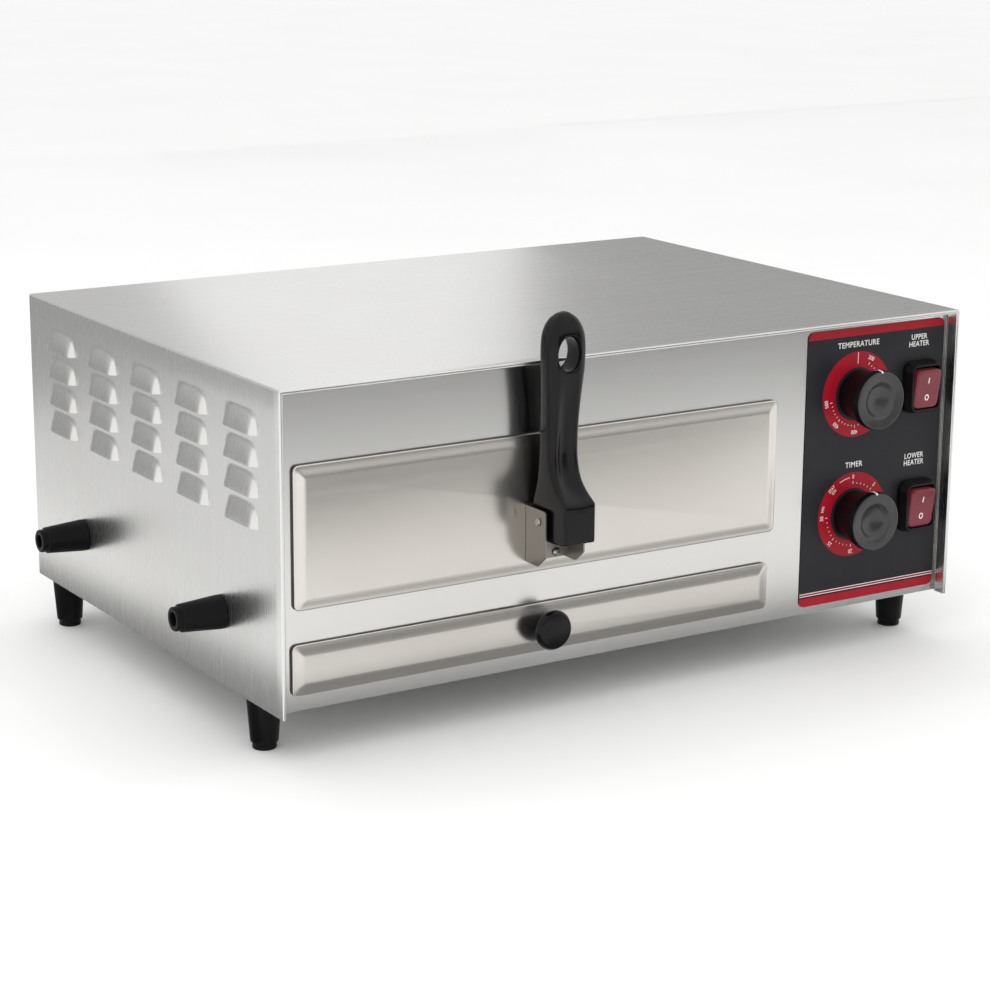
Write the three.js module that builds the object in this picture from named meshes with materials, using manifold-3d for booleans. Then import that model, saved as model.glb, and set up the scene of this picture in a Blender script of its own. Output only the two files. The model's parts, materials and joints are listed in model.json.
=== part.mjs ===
// Countertop pizza oven: a folded steel casing on rubber feet, with a slide-out wire rack behind
// a drawer-like door, a crumb tray under it and a control compartment on the right.
// Millimetres, +Z up, +X to the right and -Y towards the person at the front.
import * as THREE from "three";
import { mergeVertices } from "three/addons/utils/BufferGeometryUtils.js";
import Module from "manifold-3d";

const wasm = await Module();
wasm.setup();

// ---------------------------------------------------------------------------------------------
// Driving dimensions. x runs from the casing's left side, y back from its front edge and z up
// from its bottom edge; the group at the end of the file moves all of it to the part's origin.
const CASE_W = 597;
const CASE_D = 424;
const CASE_H = 230;
const SHEET = 1;
const GAP = 0.3;
const HEM_W = 3;
const HEM_D = 10;
const PANEL_Y = 13;
const FLANGE = 12;

const LOUVRE_L = 46;
const LOUVRE_H = 16;
const LOUVRE_OUT = 4.5;
const LOUVRE_COLUMNS = 5;
const LOUVRE_ROWS = 4;
const LOUVRE_FIRST_Y = 57;
const LOUVRE_PITCH_Y = 76.1;
const LOUVRE_FIRST_Z = 128;
const LOUVRE_PITCH_Z = 21.8;

const FOOT_L = 37;
const FOOT_R = 12.3;
const FOOT_TIP_R = 8.8;
const SCREW_HOLE_R = 2.8;
const FOOT_X = 12.5;
const FOOT_FRONT_Y = 53;
const FOOT_REAR_Y = 394;
const BUMPER_Z = 54;
const BUMPER_YS = [93, 331];

const BEZEL_T = 4;
const BEZEL_Y = PANEL_Y - GAP - BEZEL_T;
const BEZEL_SLOPE_W = 8;
const BEZEL_SLOPE_D = 1.6;
const BEZEL_CORNER_R = 4.5;
const DOOR = { x0: 15, x1: 428, z0: 72.5, z1: 175 };
const DOOR_MOUTH = { x0: 21.5, x1: 421.5, z0: 78.5, z1: 169 };
const DOOR_PLUG_D = 13;
const DOOR_PLUG_MARGIN = 1.5;
const TRAY_FRONT = { x0: 13, x1: 423, z0: 11.5, z1: 48.5 };
const TRAY_MOUTH = { x0: 18, x1: 418, z0: 13, z1: 45 };
const TRAY_FLOOR_Z = 14.5;
const TRAY_RIM_Z = 40;
const TRAY_BACK_Y = 395;

const CHAMBER = { x0: 17, x1: 426, y1: 404, z0: 2.9, z1: 182 };
const DIVIDER_X = 441;
const RAIL_W = 15;
const RACK_Z = 96;
const RACK_X0 = 24.5;
const RACK_X1 = 418.5;
const RACK_BACK_Y = 393;
const RACK_FRAME_R = 2.5;
const RACK_WIRE_R = 1.6;
const RACK_BARS = 12;
const ELEMENT_R = 3.3;
const ELEMENT_X0 = 60;
const ELEMENT_X1 = 385;
const ELEMENT_END_X = 456;
const ELEMENT_FIRST_Y = 103;
const ELEMENT_PITCH_Y = 70;
const ELEMENT_PASSES = 4;
const UPPER_ELEMENT_Z = 161;
const LOWER_ELEMENT_Z = 62;
const HANGER_XS = [140, 300];

const HANDLE_X = 218;
const HANDLE_FRONT = -36;
const BRACKET_W = 33.6;
const BRACKET_T = 1.2;
const BRACKET_FRONT = -17.3;
const BRACKET_Z0 = 82;
const BRACKET_Z1 = 124;
const PIVOT_Y = -7.7;
const PIVOT_Z = 115;
const PIN_R = 1.8;

const OVERLAY = { x0: 457, x1: 592.4, z0: 5.9, z1: 222.7 };
const OVERLAY_T = 0.5;
const UPPER_Z = 170.5;
const LOWER_Z = 75;
const KNOB_X = 506.2;
const KNOB_R = 23.2;
const KNOB_FRONT = -17;
const SHAFT_R = 2.9;
const SWITCH_X = 568.5;
const SWITCH_W = 34;
const SWITCH_H = 41;
const SWITCH_FRONT = 2;
const ROCKER_W = 24.5;
const ROCKER_H = 31;
const ROCKER_TILT = THREE.MathUtils.degToRad(8);
const ROCKER_PIVOT_Y = 6.3;

const GLAND_X = 540;
const GLAND_Z = 42;
const GLAND_BACK = CASE_D + 12;

const BASE_Z = SHEET + 2 * GAP;
const BACK_Y = CASE_D - SHEET;
const LINER_BACK = CHAMBER.y1 - SHEET;

// ---------------------------------------------------------------------------------------------
// Materials
const material = (color, roughness, metalness) =>
  new THREE.MeshStandardMaterial({ color, roughness, metalness });
const brushedSteel = material(0xb9b8b5, 0.32, 1);
const dullSteel = material(0xaaa59e, 0.42, 1);
const linerSteel = material(0x9d9c98, 0.38, 1);
const elementSteel = material(0x6e6c68, 0.5, 1);
const rackChrome = material(0xc4c5c6, 0.22, 1);
const fastenerSteel = material(0xc9c8c5, 0.28, 1);
const blackPlastic = material(0x1a1a1c, 0.42, 0);
const blackRubber = material(0x161616, 0.62, 0);
const knobPlastic = material(0x222326, 0.45, 0);
const overlayVinyl = material(0x3a3b40, 0.5, 0);
const switchBlack = material(0x141415, 0.4, 0);
const rockerRed = material(0x8c1420, 0.25, 0);
const blanketWool = material(0xd8d2c2, 0.95, 0);
const terminalPlastic = material(0xe2dccb, 0.6, 0);
const copper = material(0xb87650, 0.35, 1);

// ---------------------------------------------------------------------------------------------
// Solids. Every shape is a three.js geometry; joins and cuts go through manifold-3d.

// A closed geometry as a manifold-3d solid.
function solid(geometry) {
  const plain = new THREE.BufferGeometry();
  plain.setAttribute("position", geometry.getAttribute("position").clone());
  if (geometry.index) plain.setIndex(geometry.index.clone());
  const merged = mergeVertices(plain, 1e-4);
  const corners = merged.index.array;
  const triVerts = [];
  for (let i = 0; i < corners.length; i += 3) {
    const [a, b, c] = [corners[i], corners[i + 1], corners[i + 2]];
    if (a !== b && b !== c && c !== a) triVerts.push(a, b, c);
  }
  const mesh = new wasm.Mesh({
    numProp: 3,
    vertProperties: new Float32Array(merged.getAttribute("position").array),
    triVerts: new Uint32Array(triVerts),
  });
  return new wasm.Manifold(mesh);
}

// A solid back as a geometry with flat normals.
function geometryOf(made) {
  const { vertProperties, triVerts, numProp } = made.getMesh();
  const positions = new Float32Array(triVerts.length * 3);
  triVerts.forEach((vertex, corner) => {
    for (let axis = 0; axis < 3; axis++) {
      positions[corner * 3 + axis] = vertProperties[vertex * numProp + axis];
    }
  });
  const geometry = new THREE.BufferGeometry();
  geometry.setAttribute("position", new THREE.BufferAttribute(positions, 3));
  geometry.computeVertexNormals();
  return geometry;
}

// A box from its lowest corner to its highest.
function box(x0, x1, y0, y1, z0, z1) {
  const geometry = new THREE.BoxGeometry(x1 - x0, y1 - y0, z1 - z0);
  geometry.translate((x0 + x1) / 2, (y0 + y1) / 2, (z0 + z1) / 2);
  return solid(geometry);
}

// Turns a geometry whose axis is +Y so that its axis is +X or +Z.
function along(axis, geometry) {
  if (axis === "x") geometry.rotateZ(-Math.PI / 2);
  if (axis === "z") geometry.rotateX(Math.PI / 2);
  return geometry;
}

// A round bar between two places on an axis: centre holds the two other coordinates in order.
function bar(axis, radius, from, to, centre, sides = 16) {
  const geometry = new THREE.CylinderGeometry(radius, radius, to - from, sides);
  const middle = (from + to) / 2;
  const place = { x: [middle, ...centre], z: [...centre, middle] };
  place.y = [centre[0], middle, centre[1]];
  return solid(along(axis, geometry).translate(...place[axis]));
}

// A turned piece. profile lists [radius, distance along +Y] and closes on itself or on the axis.
function turned(profile, sides = 32) {
  const points = profile.map(([radius, height]) => new THREE.Vector2(radius, height));
  if (THREE.ShapeUtils.area(points) < 0) points.reverse();
  return new THREE.LatheGeometry(points, sides);
}

// A plate cut to an outline. side "front" takes [x, z] points and runs along +Y, side "profile"
// takes [y, z] points and runs along +X.
function plate(side, outline, from, to) {
  const shape = Array.isArray(outline)
    ? new THREE.Shape(outline.map(([a, b]) => new THREE.Vector2(a, b)))
    : outline;
  const options = { depth: to - from, bevelEnabled: false, curveSegments: 6 };
  const geometry = new THREE.ExtrudeGeometry(shape, options);
  if (side === "front") {
    geometry.rotateX(Math.PI / 2).translate(0, to, 0);
  } else {
    geometry.rotateX(Math.PI / 2).rotateZ(Math.PI / 2).translate(from, 0, 0);
  }
  return solid(geometry);
}

// A closed skin through rings of equal length, capped flat at both ends.
function loft(rings) {
  const count = rings[0].length;
  const positions = rings.flat().flatMap((point) => [point.x, point.y, point.z]);
  const indices = [];
  for (let ring = 0; ring + 1 < rings.length; ring++) {
    for (let i = 0; i < count; i++) {
      const a = ring * count + i;
      const b = ring * count + ((i + 1) % count);
      indices.push(a, b, b + count, a, b + count, a + count);
    }
  }
  const last = (rings.length - 1) * count;
  for (let i = 1; i + 1 < count; i++) {
    indices.push(0, i + 1, i, last, last + i, last + i + 1);
  }
  const geometry = new THREE.BufferGeometry();
  geometry.setAttribute("position", new THREE.Float32BufferAttribute(positions, 3));
  geometry.setIndex(indices);
  const made = solid(geometry);
  if (made.volume() > 0) return made;
  geometry.setIndex(indices.reverse());
  return solid(geometry);
}

// A rounded rectangle at one depth y, as a ring for loft. area has x0, x1, z0 and z1.
function roundedRing(area, inset, radius, y, perCorner = 3) {
  const corner = Math.max(radius, 0.6);
  const centres = [
    [area.x1 - inset - corner, area.z1 - inset - corner],
    [area.x0 + inset + corner, area.z1 - inset - corner],
    [area.x0 + inset + corner, area.z0 + inset + corner],
    [area.x1 - inset - corner, area.z0 + inset + corner],
  ];
  return centres.flatMap(([x, z], quarter) =>
    Array.from({ length: perCorner + 1 }, (_, i) => {
      const angle = ((quarter + i / perCorner) * Math.PI) / 2;
      return new THREE.Vector3(x + corner * Math.cos(angle), y, z + corner * Math.sin(angle));
    }),
  );
}

// A plate with rounded corners between two depths.
function roundedPlate(area, radius, y0, y1) {
  return loft([roundedRing(area, 0, radius, y1), roundedRing(area, 0, radius, y0)]);
}

// A round wire through a list of points, with a mitred ring at each one.
function wire(points, radius, sides = 8) {
  const rings = [];
  let side = null;
  points.forEach((point, i) => {
    const before = points[Math.max(i - 1, 0)];
    const after = points[Math.min(i + 1, points.length - 1)];
    const ahead = after.clone().sub(before).normalize();
    if (!side) {
      const spare = Math.abs(ahead.z) < 0.9 ? new THREE.Vector3(0, 0, 1) : new THREE.Vector3(1, 0, 0);
      side = new THREE.Vector3().crossVectors(ahead, spare).normalize();
    } else {
      side.addScaledVector(ahead, -side.dot(ahead)).normalize();
    }
    const other = new THREE.Vector3().crossVectors(ahead, side);
    const ring = Array.from({ length: sides }, (_, k) => {
      const angle = (k / sides) * 2 * Math.PI;
      return point
        .clone()
        .addScaledVector(side, radius * Math.cos(angle))
        .addScaledVector(other, radius * Math.sin(angle));
    });
    rings.push(ring);
  });
  return loft(rings);
}

// Cuts every tool from a solid in turn.
function cutAll(made, tools) {
  return tools.reduce((left, tool) => left.subtract(tool), made);
}

const parts = new THREE.Group();

// Adds one named piece to the oven, from a solid or a three.js geometry.
function piece(name, finish, shape) {
  const geometry = shape.isBufferGeometry ? shape : geometryOf(shape);
  const mesh = new THREE.Mesh(geometry, finish);
  mesh.name = name;
  parts.add(mesh);
  return mesh;
}

// ---------------------------------------------------------------------------------------------
// Casing

// One louvre on the left side: a hood pressed outwards, open along its lower edge.
function louvreHood(y, z, inset) {
  const lip = z - (inset ? 1 : 0);
  const root = inset ? SHEET + 0.5 : SHEET / 2;
  const outline = [
    [root, lip],
    [inset - LOUVRE_OUT, lip],
    [inset - LOUVRE_OUT, z + 4 - inset / 2],
    [root, z + LOUVRE_H - inset * 2],
  ];
  const half = LOUVRE_L / 2 - inset;
  const shape = new THREE.Shape(outline.map(([x, height]) => new THREE.Vector2(x, height)));
  const geometry = new THREE.ExtrudeGeometry(shape, { depth: 2 * half, bevelEnabled: false });
  return solid(geometry.rotateX(Math.PI / 2).translate(0, y + half, 0));
}

function makeLouvres(inset) {
  const hoods = [];
  for (let column = 0; column < LOUVRE_COLUMNS; column++) {
    for (let row = 0; row < LOUVRE_ROWS; row++) {
      const y = LOUVRE_FIRST_Y + column * LOUVRE_PITCH_Y;
      const z = LOUVRE_FIRST_Z + row * LOUVRE_PITCH_Z;
      hoods.push(louvreHood(y, z, inset));
    }
  }
  const left = wasm.Manifold.union(hoods);
  const right = left.mirror([1, 0, 0]).translate([CASE_W, 0, 0]);
  return left.add(right);
}

// Top and both sides in one bent sheet, with a folded hem round the front and a flange turned in
// along the bottom of each side.
function makeOuterWrap() {
  const shell = box(0, CASE_W, 0, CASE_D, 0, CASE_H).subtract(
    box(SHEET, CASE_W - SHEET, -1, CASE_D + 1, -1, CASE_H - SHEET),
  );
  const hem = box(0, CASE_W, 0, HEM_D, 0, CASE_H).subtract(
    box(HEM_W, CASE_W - HEM_W, -1, HEM_D + 1, -1, CASE_H - HEM_W),
  );
  const flangeFront = PANEL_Y + FLANGE + SHEET;
  const flangeW = 2 * FOOT_X;
  const flanges = box(0, CASE_W, flangeFront, BACK_Y - GAP, 0, SHEET).subtract(
    box(flangeW, CASE_W - flangeW, flangeFront - 1, CASE_D, -1, SHEET + 1),
  );
  const wrap = shell.add(hem).add(flanges).add(makeLouvres(0)).subtract(makeLouvres(0.8));
  const bumperHoles = BUMPER_YS.map((y) =>
    bar("x", SCREW_HOLE_R, -5, CASE_W + 5, [y, BUMPER_Z], 8),
  );
  return cutAll(wrap, [...bumperHoles, ...footHoles()]);
}

// The recessed front, with the two drawer mouths and the holes for the controls.
function makeFrontPanel() {
  const [left, right] = [SHEET + GAP, CASE_W - SHEET - GAP];
  const [bottom, top] = [GAP, CASE_H - SHEET - GAP];
  const pan = box(left, right, PANEL_Y, PANEL_Y + FLANGE, bottom, top).subtract(
    box(left - 1, right + 1, PANEL_Y + SHEET, CASE_D, bottom + SHEET, top - SHEET),
  );
  const mouths = [DOOR_MOUTH, TRAY_MOUTH].map((mouth) =>
    box(mouth.x0, mouth.x1, 0, PANEL_Y + 5, mouth.z0, mouth.z1),
  );
  return cutAll(pan, [...mouths, ...controlHoles(6)]);
}

// The holes that the knob shafts and the switches pass through, in the panel and its overlay.
function controlHoles(shaftHole) {
  return [UPPER_Z, LOWER_Z].flatMap((z) => [
    bar("y", shaftHole, 0, PANEL_Y + 5, [KNOB_X, z], 12),
    box(SWITCH_X - 12, SWITCH_X + 12, 0, PANEL_Y + 5, z - 16, z + 16),
  ]);
}

function makeBackPanel() {
  const sheet = box(SHEET + GAP, CASE_W - SHEET - GAP, BACK_Y, CASE_D, GAP, CASE_H - SHEET - GAP);
  return sheet.subtract(bar("y", 9, BACK_Y - 5, CASE_D + 5, [GLAND_X, GLAND_Z], 24));
}

// Where each foot stands, by name.
const footPlaces = [
  ["front_left", FOOT_X, FOOT_FRONT_Y],
  ["front_right", CASE_W - FOOT_X, FOOT_FRONT_Y],
  ["rear_left", FOOT_X, FOOT_REAR_Y],
  ["rear_right", CASE_W - FOOT_X, FOOT_REAR_Y],
];

// The floor of the casing, turned up at both sides.
function makeBasePan() {
  const [left, right] = [SHEET + GAP, CASE_W - SHEET - GAP];
  const [front, back] = [PANEL_Y + SHEET + GAP, BACK_Y - GAP];
  const pan = box(left, right, front, back, BASE_Z, BASE_Z + FLANGE).subtract(
    box(left + SHEET, right - SHEET, front - 1, back + 1, BASE_Z + SHEET, BASE_Z + FLANGE + 1),
  );
  return cutAll(pan, footHoles());
}

// The screw holes for the feet, through the casing's floor.
const footHoles = () =>
  footPlaces.map(([, x, y]) => bar("z", SCREW_HOLE_R, -5, BASE_Z + 5, [x, y], 8));

piece("outer_wrap", brushedSteel, makeOuterWrap());
piece("front_panel", brushedSteel, makeFrontPanel());
piece("back_panel", brushedSteel, makeBackPanel());
piece("base_pan", dullSteel, makeBasePan());

// A rubber foot along +Y from its base at 0: a tapered sleeve with a collar at the tip.
function makeFootShape() {
  return turned([
    [2.7, 0],
    [FOOT_R, 0],
    [FOOT_TIP_R + 0.9, FOOT_L - 5],
    [FOOT_TIP_R, FOOT_L - 4.6],
    [FOOT_TIP_R, FOOT_L],
    [5, FOOT_L],
    [5, 6],
    [2.7, 6],
    [2.7, 0],
  ], 16);
}

// The screw that holds a foot, with its head seated in the sleeve and its end inside the casing.
function makeFootScrewShape() {
  return turned([
    [0, 9],
    [4.2, 9],
    [4.2, 6 + GAP],
    [2.3, 6 + GAP],
    [2.3, -5],
    [0, -5],
  ], 8);
}

for (const [place, x, y] of footPlaces) {
  for (const [kind, finish, shape] of [
    ["foot", blackRubber, makeFootShape()],
    ["foot_screw", fastenerSteel, makeFootScrewShape()],
  ]) {
    const mesh = piece(`${place}_${kind}`, finish, shape);
    mesh.rotation.x = -Math.PI / 2;
    mesh.position.set(x, y, -GAP);
  }
}

const bumperSides = [
  ["left", -GAP, Math.PI / 2],
  ["right", CASE_W + GAP, -Math.PI / 2],
];
for (const [sideName, x, turn] of bumperSides) {
  for (const [placeName, y] of [["front", BUMPER_YS[0]], ["rear", BUMPER_YS[1]]]) {
    for (const [kind, finish, shape] of [
      ["bumper", blackRubber, makeFootShape()],
      ["bumper_screw", fastenerSteel, makeFootScrewShape()],
    ]) {
      const mesh = piece(`${sideName}_${placeName}_${kind}`, finish, shape);
      mesh.rotation.z = turn;
      mesh.position.set(x, y, BUMPER_Z);
    }
  }
}

// ---------------------------------------------------------------------------------------------
// Oven chamber

const elementYs = Array.from(
  { length: ELEMENT_PASSES },
  (_, pass) => ELEMENT_FIRST_Y + pass * ELEMENT_PITCH_Y,
);
const BULB_X = CHAMBER.x1 - 12;
const BULB_Z = 140;
const CAPILLARY_Y = 60;

// The holes that the element ends and the thermostat's capillary pass through.
function serviceHoles(x0, x1) {
  const ends = [elementYs[0], elementYs[ELEMENT_PASSES - 1]];
  const holes = [UPPER_ELEMENT_Z, LOWER_ELEMENT_Z].flatMap((z) =>
    ends.map((y) => bar("x", ELEMENT_R + 1, x0, x1, [y, z], 8)),
  );
  return [...holes, bar("x", 2.5, x0, x1, [CAPILLARY_Y, BULB_Z], 8)];
}

// Top, back and two sides of the chamber, open at the front and over the crumb tray.
function makeLiner() {
  const { x0, x1, y1, z0, z1 } = CHAMBER;
  const front = PANEL_Y + SHEET + GAP;
  const shell = box(x0, x1, front, y1, z0, z1).subtract(
    box(x0 + SHEET, x1 - SHEET, front - 1, LINER_BACK, z0 - 1, z1 - SHEET),
  );
  return cutAll(shell, serviceHoles(x1 - 5, x1 + 5));
}

// The wall between the chamber and the controls, with a foot flange.
function makeDivider() {
  const front = PANEL_Y + SHEET + GAP;
  const back = BACK_Y - GAP;
  const floor = BASE_Z + SHEET + GAP;
  const sheet = box(DIVIDER_X, DIVIDER_X + SHEET, front, back, floor, CASE_H - 3 * SHEET);
  const foot = box(DIVIDER_X, DIVIDER_X + FLANGE, front, back, floor, floor + SHEET);
  return cutAll(sheet.add(foot), serviceHoles(DIVIDER_X - 5, DIVIDER_X + 5));
}

// A sheathed element: straight passes joined by half-circle bends, with both ends on the right.
function makeElement(z) {
  const bend = ELEMENT_PITCH_Y / 2;
  const points = [new THREE.Vector3(ELEMENT_END_X, elementYs[0], z)];
  for (let pass = 0; pass + 1 < ELEMENT_PASSES; pass++) {
    const leftward = pass % 2 === 0;
    const turnX = leftward ? ELEMENT_X0 + bend : ELEMENT_X1 - bend;
    const steps = 8;
    for (let i = 0; i <= steps; i++) {
      const angle = (i / steps) * Math.PI;
      const reach = Math.sin(angle) * bend * (leftward ? -1 : 1);
      const y = elementYs[pass] + bend - Math.cos(angle) * bend;
      points.push(new THREE.Vector3(turnX + reach, y, z));
    }
  }
  points.push(new THREE.Vector3(ELEMENT_END_X, elementYs[ELEMENT_PASSES - 1], z));
  return wire(points, ELEMENT_R);
}

// A strip on edge across the four passes of an element, which run through its holes.
function makeElementStrip(x, y0, y1, z0, z1, elementZ) {
  const strip = box(x - SHEET, x + SHEET, y0, y1, z0, z1);
  const holes = elementYs.map((y) => bar("x", ELEMENT_R + 1, x - 5, x + 5, [y, elementZ], 8));
  return cutAll(strip, holes);
}

// An angle that carries a sliding piece, seated against the liner's side wall.
function makeRail(atLeft, topZ, dropZ) {
  const wall = atLeft ? CHAMBER.x0 + SHEET + GAP : CHAMBER.x1 - SHEET - GAP;
  const inner = atLeft ? wall + RAIL_W : wall - RAIL_W;
  const upright = atLeft ? wall + SHEET : wall - SHEET;
  const [y0, y1] = [PANEL_Y + SHEET + 16, LINER_BACK - 6];
  const span = (a, b) => [Math.min(a, b), Math.max(a, b)];
  const shelf = box(...span(wall, inner), y0, y1, topZ - SHEET, topZ);
  return shelf.add(box(...span(wall, upright), y0, y1, topZ - dropZ, topZ));
}

piece("chamber_liner", linerSteel, makeLiner());
piece("control_divider", linerSteel, makeDivider());
piece(
  "insulation_blanket",
  blanketWool,
  box(CHAMBER.x0 + 3, CHAMBER.x1 - 3, 20, CHAMBER.y1 - 3, CHAMBER.z1 + GAP, CHAMBER.z1 + 20),
);
piece("upper_element", elementSteel, makeElement(UPPER_ELEMENT_Z));
piece("lower_element", elementSteel, makeElement(LOWER_ELEMENT_Z));
HANGER_XS.forEach((x, i) => {
  const place = ["left", "right"][i];
  const ceiling = CHAMBER.z1 - SHEET - GAP;
  const [y0, y1] = [elementYs[0] - 14, elementYs[ELEMENT_PASSES - 1] + 14];
  piece(
    `upper_element_hanger_${place}`,
    dullSteel,
    makeElementStrip(x, y0, y1, UPPER_ELEMENT_Z - 7, ceiling, UPPER_ELEMENT_Z),
  );
  piece(
    `lower_element_support_${place}`,
    dullSteel,
    makeElementStrip(x, 34, LINER_BACK - GAP, LOWER_ELEMENT_Z - 7, LOWER_ELEMENT_Z + 7, LOWER_ELEMENT_Z),
  );
});
const RACK_RAIL_Z = RACK_Z - RACK_FRAME_R - GAP;
for (const atLeft of [true, false]) {
  const side = atLeft ? "left" : "right";
  piece(`rack_rail_${side}`, dullSteel, makeRail(atLeft, RACK_RAIL_Z, 9));
  piece(`tray_rail_${side}`, dullSteel, makeRail(atLeft, TRAY_FLOOR_Z - GAP, 9));
}

// ---------------------------------------------------------------------------------------------
// Door and rack, which slide out together

// A drawer front: a pan of sheet whose face falls away in a wide shallow slope to its rim.
function makeBezel(area) {
  const rimY = BEZEL_Y + BEZEL_SLOPE_D;
  const outside = loft([
    roundedRing(area, 0, BEZEL_CORNER_R, BEZEL_Y + BEZEL_T),
    roundedRing(area, 0, BEZEL_CORNER_R, rimY),
    roundedRing(area, BEZEL_SLOPE_W, 1.5, BEZEL_Y),
  ]);
  const inside = loft([
    roundedRing(area, SHEET, BEZEL_CORNER_R - SHEET, BEZEL_Y + BEZEL_T + 1),
    roundedRing(area, SHEET, BEZEL_CORNER_R - SHEET, rimY + SHEET),
    roundedRing(area, BEZEL_SLOPE_W, 1.5, BEZEL_Y + SHEET),
  ]);
  return outside.subtract(inside);
}

// The pan that fills the chamber's mouth behind the door's face, hollow towards the face.
function makeDoorPlug() {
  const { x0, x1, z0, z1 } = DOOR_MOUTH;
  const margin = DOOR_PLUG_MARGIN;
  const front = BEZEL_Y + BEZEL_T + GAP;
  const back = front + DOOR_PLUG_D;
  return box(x0 + margin, x1 - margin, front, back, z0 + margin, z1 - margin).subtract(
    box(x0 + margin + SHEET, x1 - margin - SHEET, front - 1, back - SHEET, z0 + 2.5, z1 - 2.5),
  );
}

const RACK_FRONT_Y = BEZEL_Y + BEZEL_T + 2 * GAP + DOOR_PLUG_D + RACK_FRAME_R;

// A frame of thick wire with thinner bars from front to back.
function makeRack() {
  const at = (x, y) => new THREE.Vector3(x, y, RACK_Z);
  const left = RACK_X0 + RACK_FRAME_R;
  const right = RACK_X1 - RACK_FRAME_R;
  const bars = [
    wire([at(left, RACK_FRONT_Y - RACK_FRAME_R), at(left, RACK_BACK_Y)], RACK_FRAME_R, 8),
    wire([at(right, RACK_FRONT_Y - RACK_FRAME_R), at(right, RACK_BACK_Y)], RACK_FRAME_R, 8),
  ];
  for (const y of [RACK_FRONT_Y, (RACK_FRONT_Y + RACK_BACK_Y) / 2, RACK_BACK_Y - RACK_FRAME_R]) {
    bars.push(wire([at(RACK_X0 + 0.6, y), at(RACK_X1 - 0.6, y)], RACK_FRAME_R * 0.96, 8));
  }
  for (let i = 1; i <= RACK_BARS; i++) {
    const x = left + ((right - left) * i) / (RACK_BARS + 1);
    bars.push(wire([at(x, RACK_FRONT_Y), at(x, RACK_BACK_Y - RACK_FRAME_R)], RACK_WIRE_R, 6));
  }
  return wasm.Manifold.union(bars);
}

piece("door_front", dullSteel, makeBezel(DOOR));
piece("door_inner_pan", linerSteel, makeDoorPlug());
piece("wire_rack", rackChrome, makeRack());

// ---------------------------------------------------------------------------------------------
// Folding handle and its bracket

const WEB_BACK = BEZEL_Y - GAP;
const WEB_FRONT = WEB_BACK - BRACKET_T;

// A channel with its web on the door and its two ears forward, cut back at their lower corners.
function makeBracket() {
  const ear = new THREE.Shape();
  ear.moveTo(WEB_BACK, BRACKET_Z0);
  ear.lineTo(-7, BRACKET_Z0);
  ear.lineTo(BRACKET_FRONT, BRACKET_Z0 + 8.5);
  ear.lineTo(BRACKET_FRONT, BRACKET_Z1 - 2.5);
  ear.absarc(BRACKET_FRONT + 2.5, BRACKET_Z1 - 2.5, 2.5, Math.PI, Math.PI / 2, true);
  ear.lineTo(WEB_BACK, BRACKET_Z1);
  const [x0, x1] = [HANDLE_X - BRACKET_W / 2, HANDLE_X + BRACKET_W / 2];
  const inside = box(x0 + BRACKET_T, x1 - BRACKET_T, -50, WEB_FRONT, BRACKET_Z0 - 5, BRACKET_Z1 + 5);
  const pinHole = bar("x", PIN_R + GAP, x0 - 5, x1 + 5, [PIVOT_Y, PIVOT_Z], 12);
  return plate("profile", ear, x0, x1).subtract(inside).subtract(pinHole);
}

const HANDLE_TOP = 265.5;
const HANDLE_HOLE_Z = 236;
const CAM_R = WEB_FRONT - PIVOT_Y - 0.5;
const BLOCK_HALF_W = 13;
const NECK_HALF_W = 12.5;
const NECK_FRONT = -16.6;
const PADDLE_HALF_W = 16.5;
const PADDLE_FRONT = -21;
const PADDLE_BACK = -1;

// The handle seen from its side: a deep block round the pivot, then a flat grip standing above it.
function handleSide() {
  const side = new THREE.Shape();
  side.moveTo(PIVOT_Y, PIVOT_Z - CAM_R);
  side.lineTo(HANDLE_FRONT, PIVOT_Z - CAM_R + 1.8);
  side.lineTo(HANDLE_FRONT, 131);
  side.quadraticCurveTo(NECK_FRONT - 2, 142, NECK_FRONT, 162);
  side.lineTo(PADDLE_FRONT, 228);
  side.lineTo(PADDLE_FRONT, 250);
  side.quadraticCurveTo(PADDLE_FRONT, HANDLE_TOP, -11, HANDLE_TOP);
  side.quadraticCurveTo(PADDLE_BACK, HANDLE_TOP, PADDLE_BACK, 250);
  side.lineTo(PADDLE_BACK, 222);
  side.quadraticCurveTo(2.5, 190, 2.5, 160);
  side.quadraticCurveTo(3, 140, PIVOT_Y + CAM_R, 124);
  side.lineTo(PIVOT_Y + CAM_R, PIVOT_Z);
  side.absarc(PIVOT_Y, PIVOT_Z, CAM_R, 0, -Math.PI / 2, true);
  return side;
}

// The handle seen from the front: the block, a narrower neck and a rounded end with a hole.
function handleFace() {
  const face = new THREE.Shape();
  const low = PIVOT_Z - CAM_R - 5;
  face.moveTo(HANDLE_X - BLOCK_HALF_W, low);
  face.lineTo(HANDLE_X + BLOCK_HALF_W, low);
  face.lineTo(HANDLE_X + BLOCK_HALF_W, 132);
  face.quadraticCurveTo(HANDLE_X + NECK_HALF_W, 150, HANDLE_X + NECK_HALF_W, 182);
  face.quadraticCurveTo(HANDLE_X + PADDLE_HALF_W, 205, HANDLE_X + PADDLE_HALF_W, 240);
  face.absellipse(HANDLE_X, 240, PADDLE_HALF_W, HANDLE_TOP - 240, 0, Math.PI, false);
  face.quadraticCurveTo(HANDLE_X - PADDLE_HALF_W, 205, HANDLE_X - NECK_HALF_W, 182);
  face.quadraticCurveTo(HANDLE_X - NECK_HALF_W, 150, HANDLE_X - BLOCK_HALF_W, 132);
  const hole = new THREE.Path();
  hole.absellipse(HANDLE_X, HANDLE_HOLE_Z, 9, 12.5, 0, 2 * Math.PI, true);
  face.holes.push(hole);
  return face;
}

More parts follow.
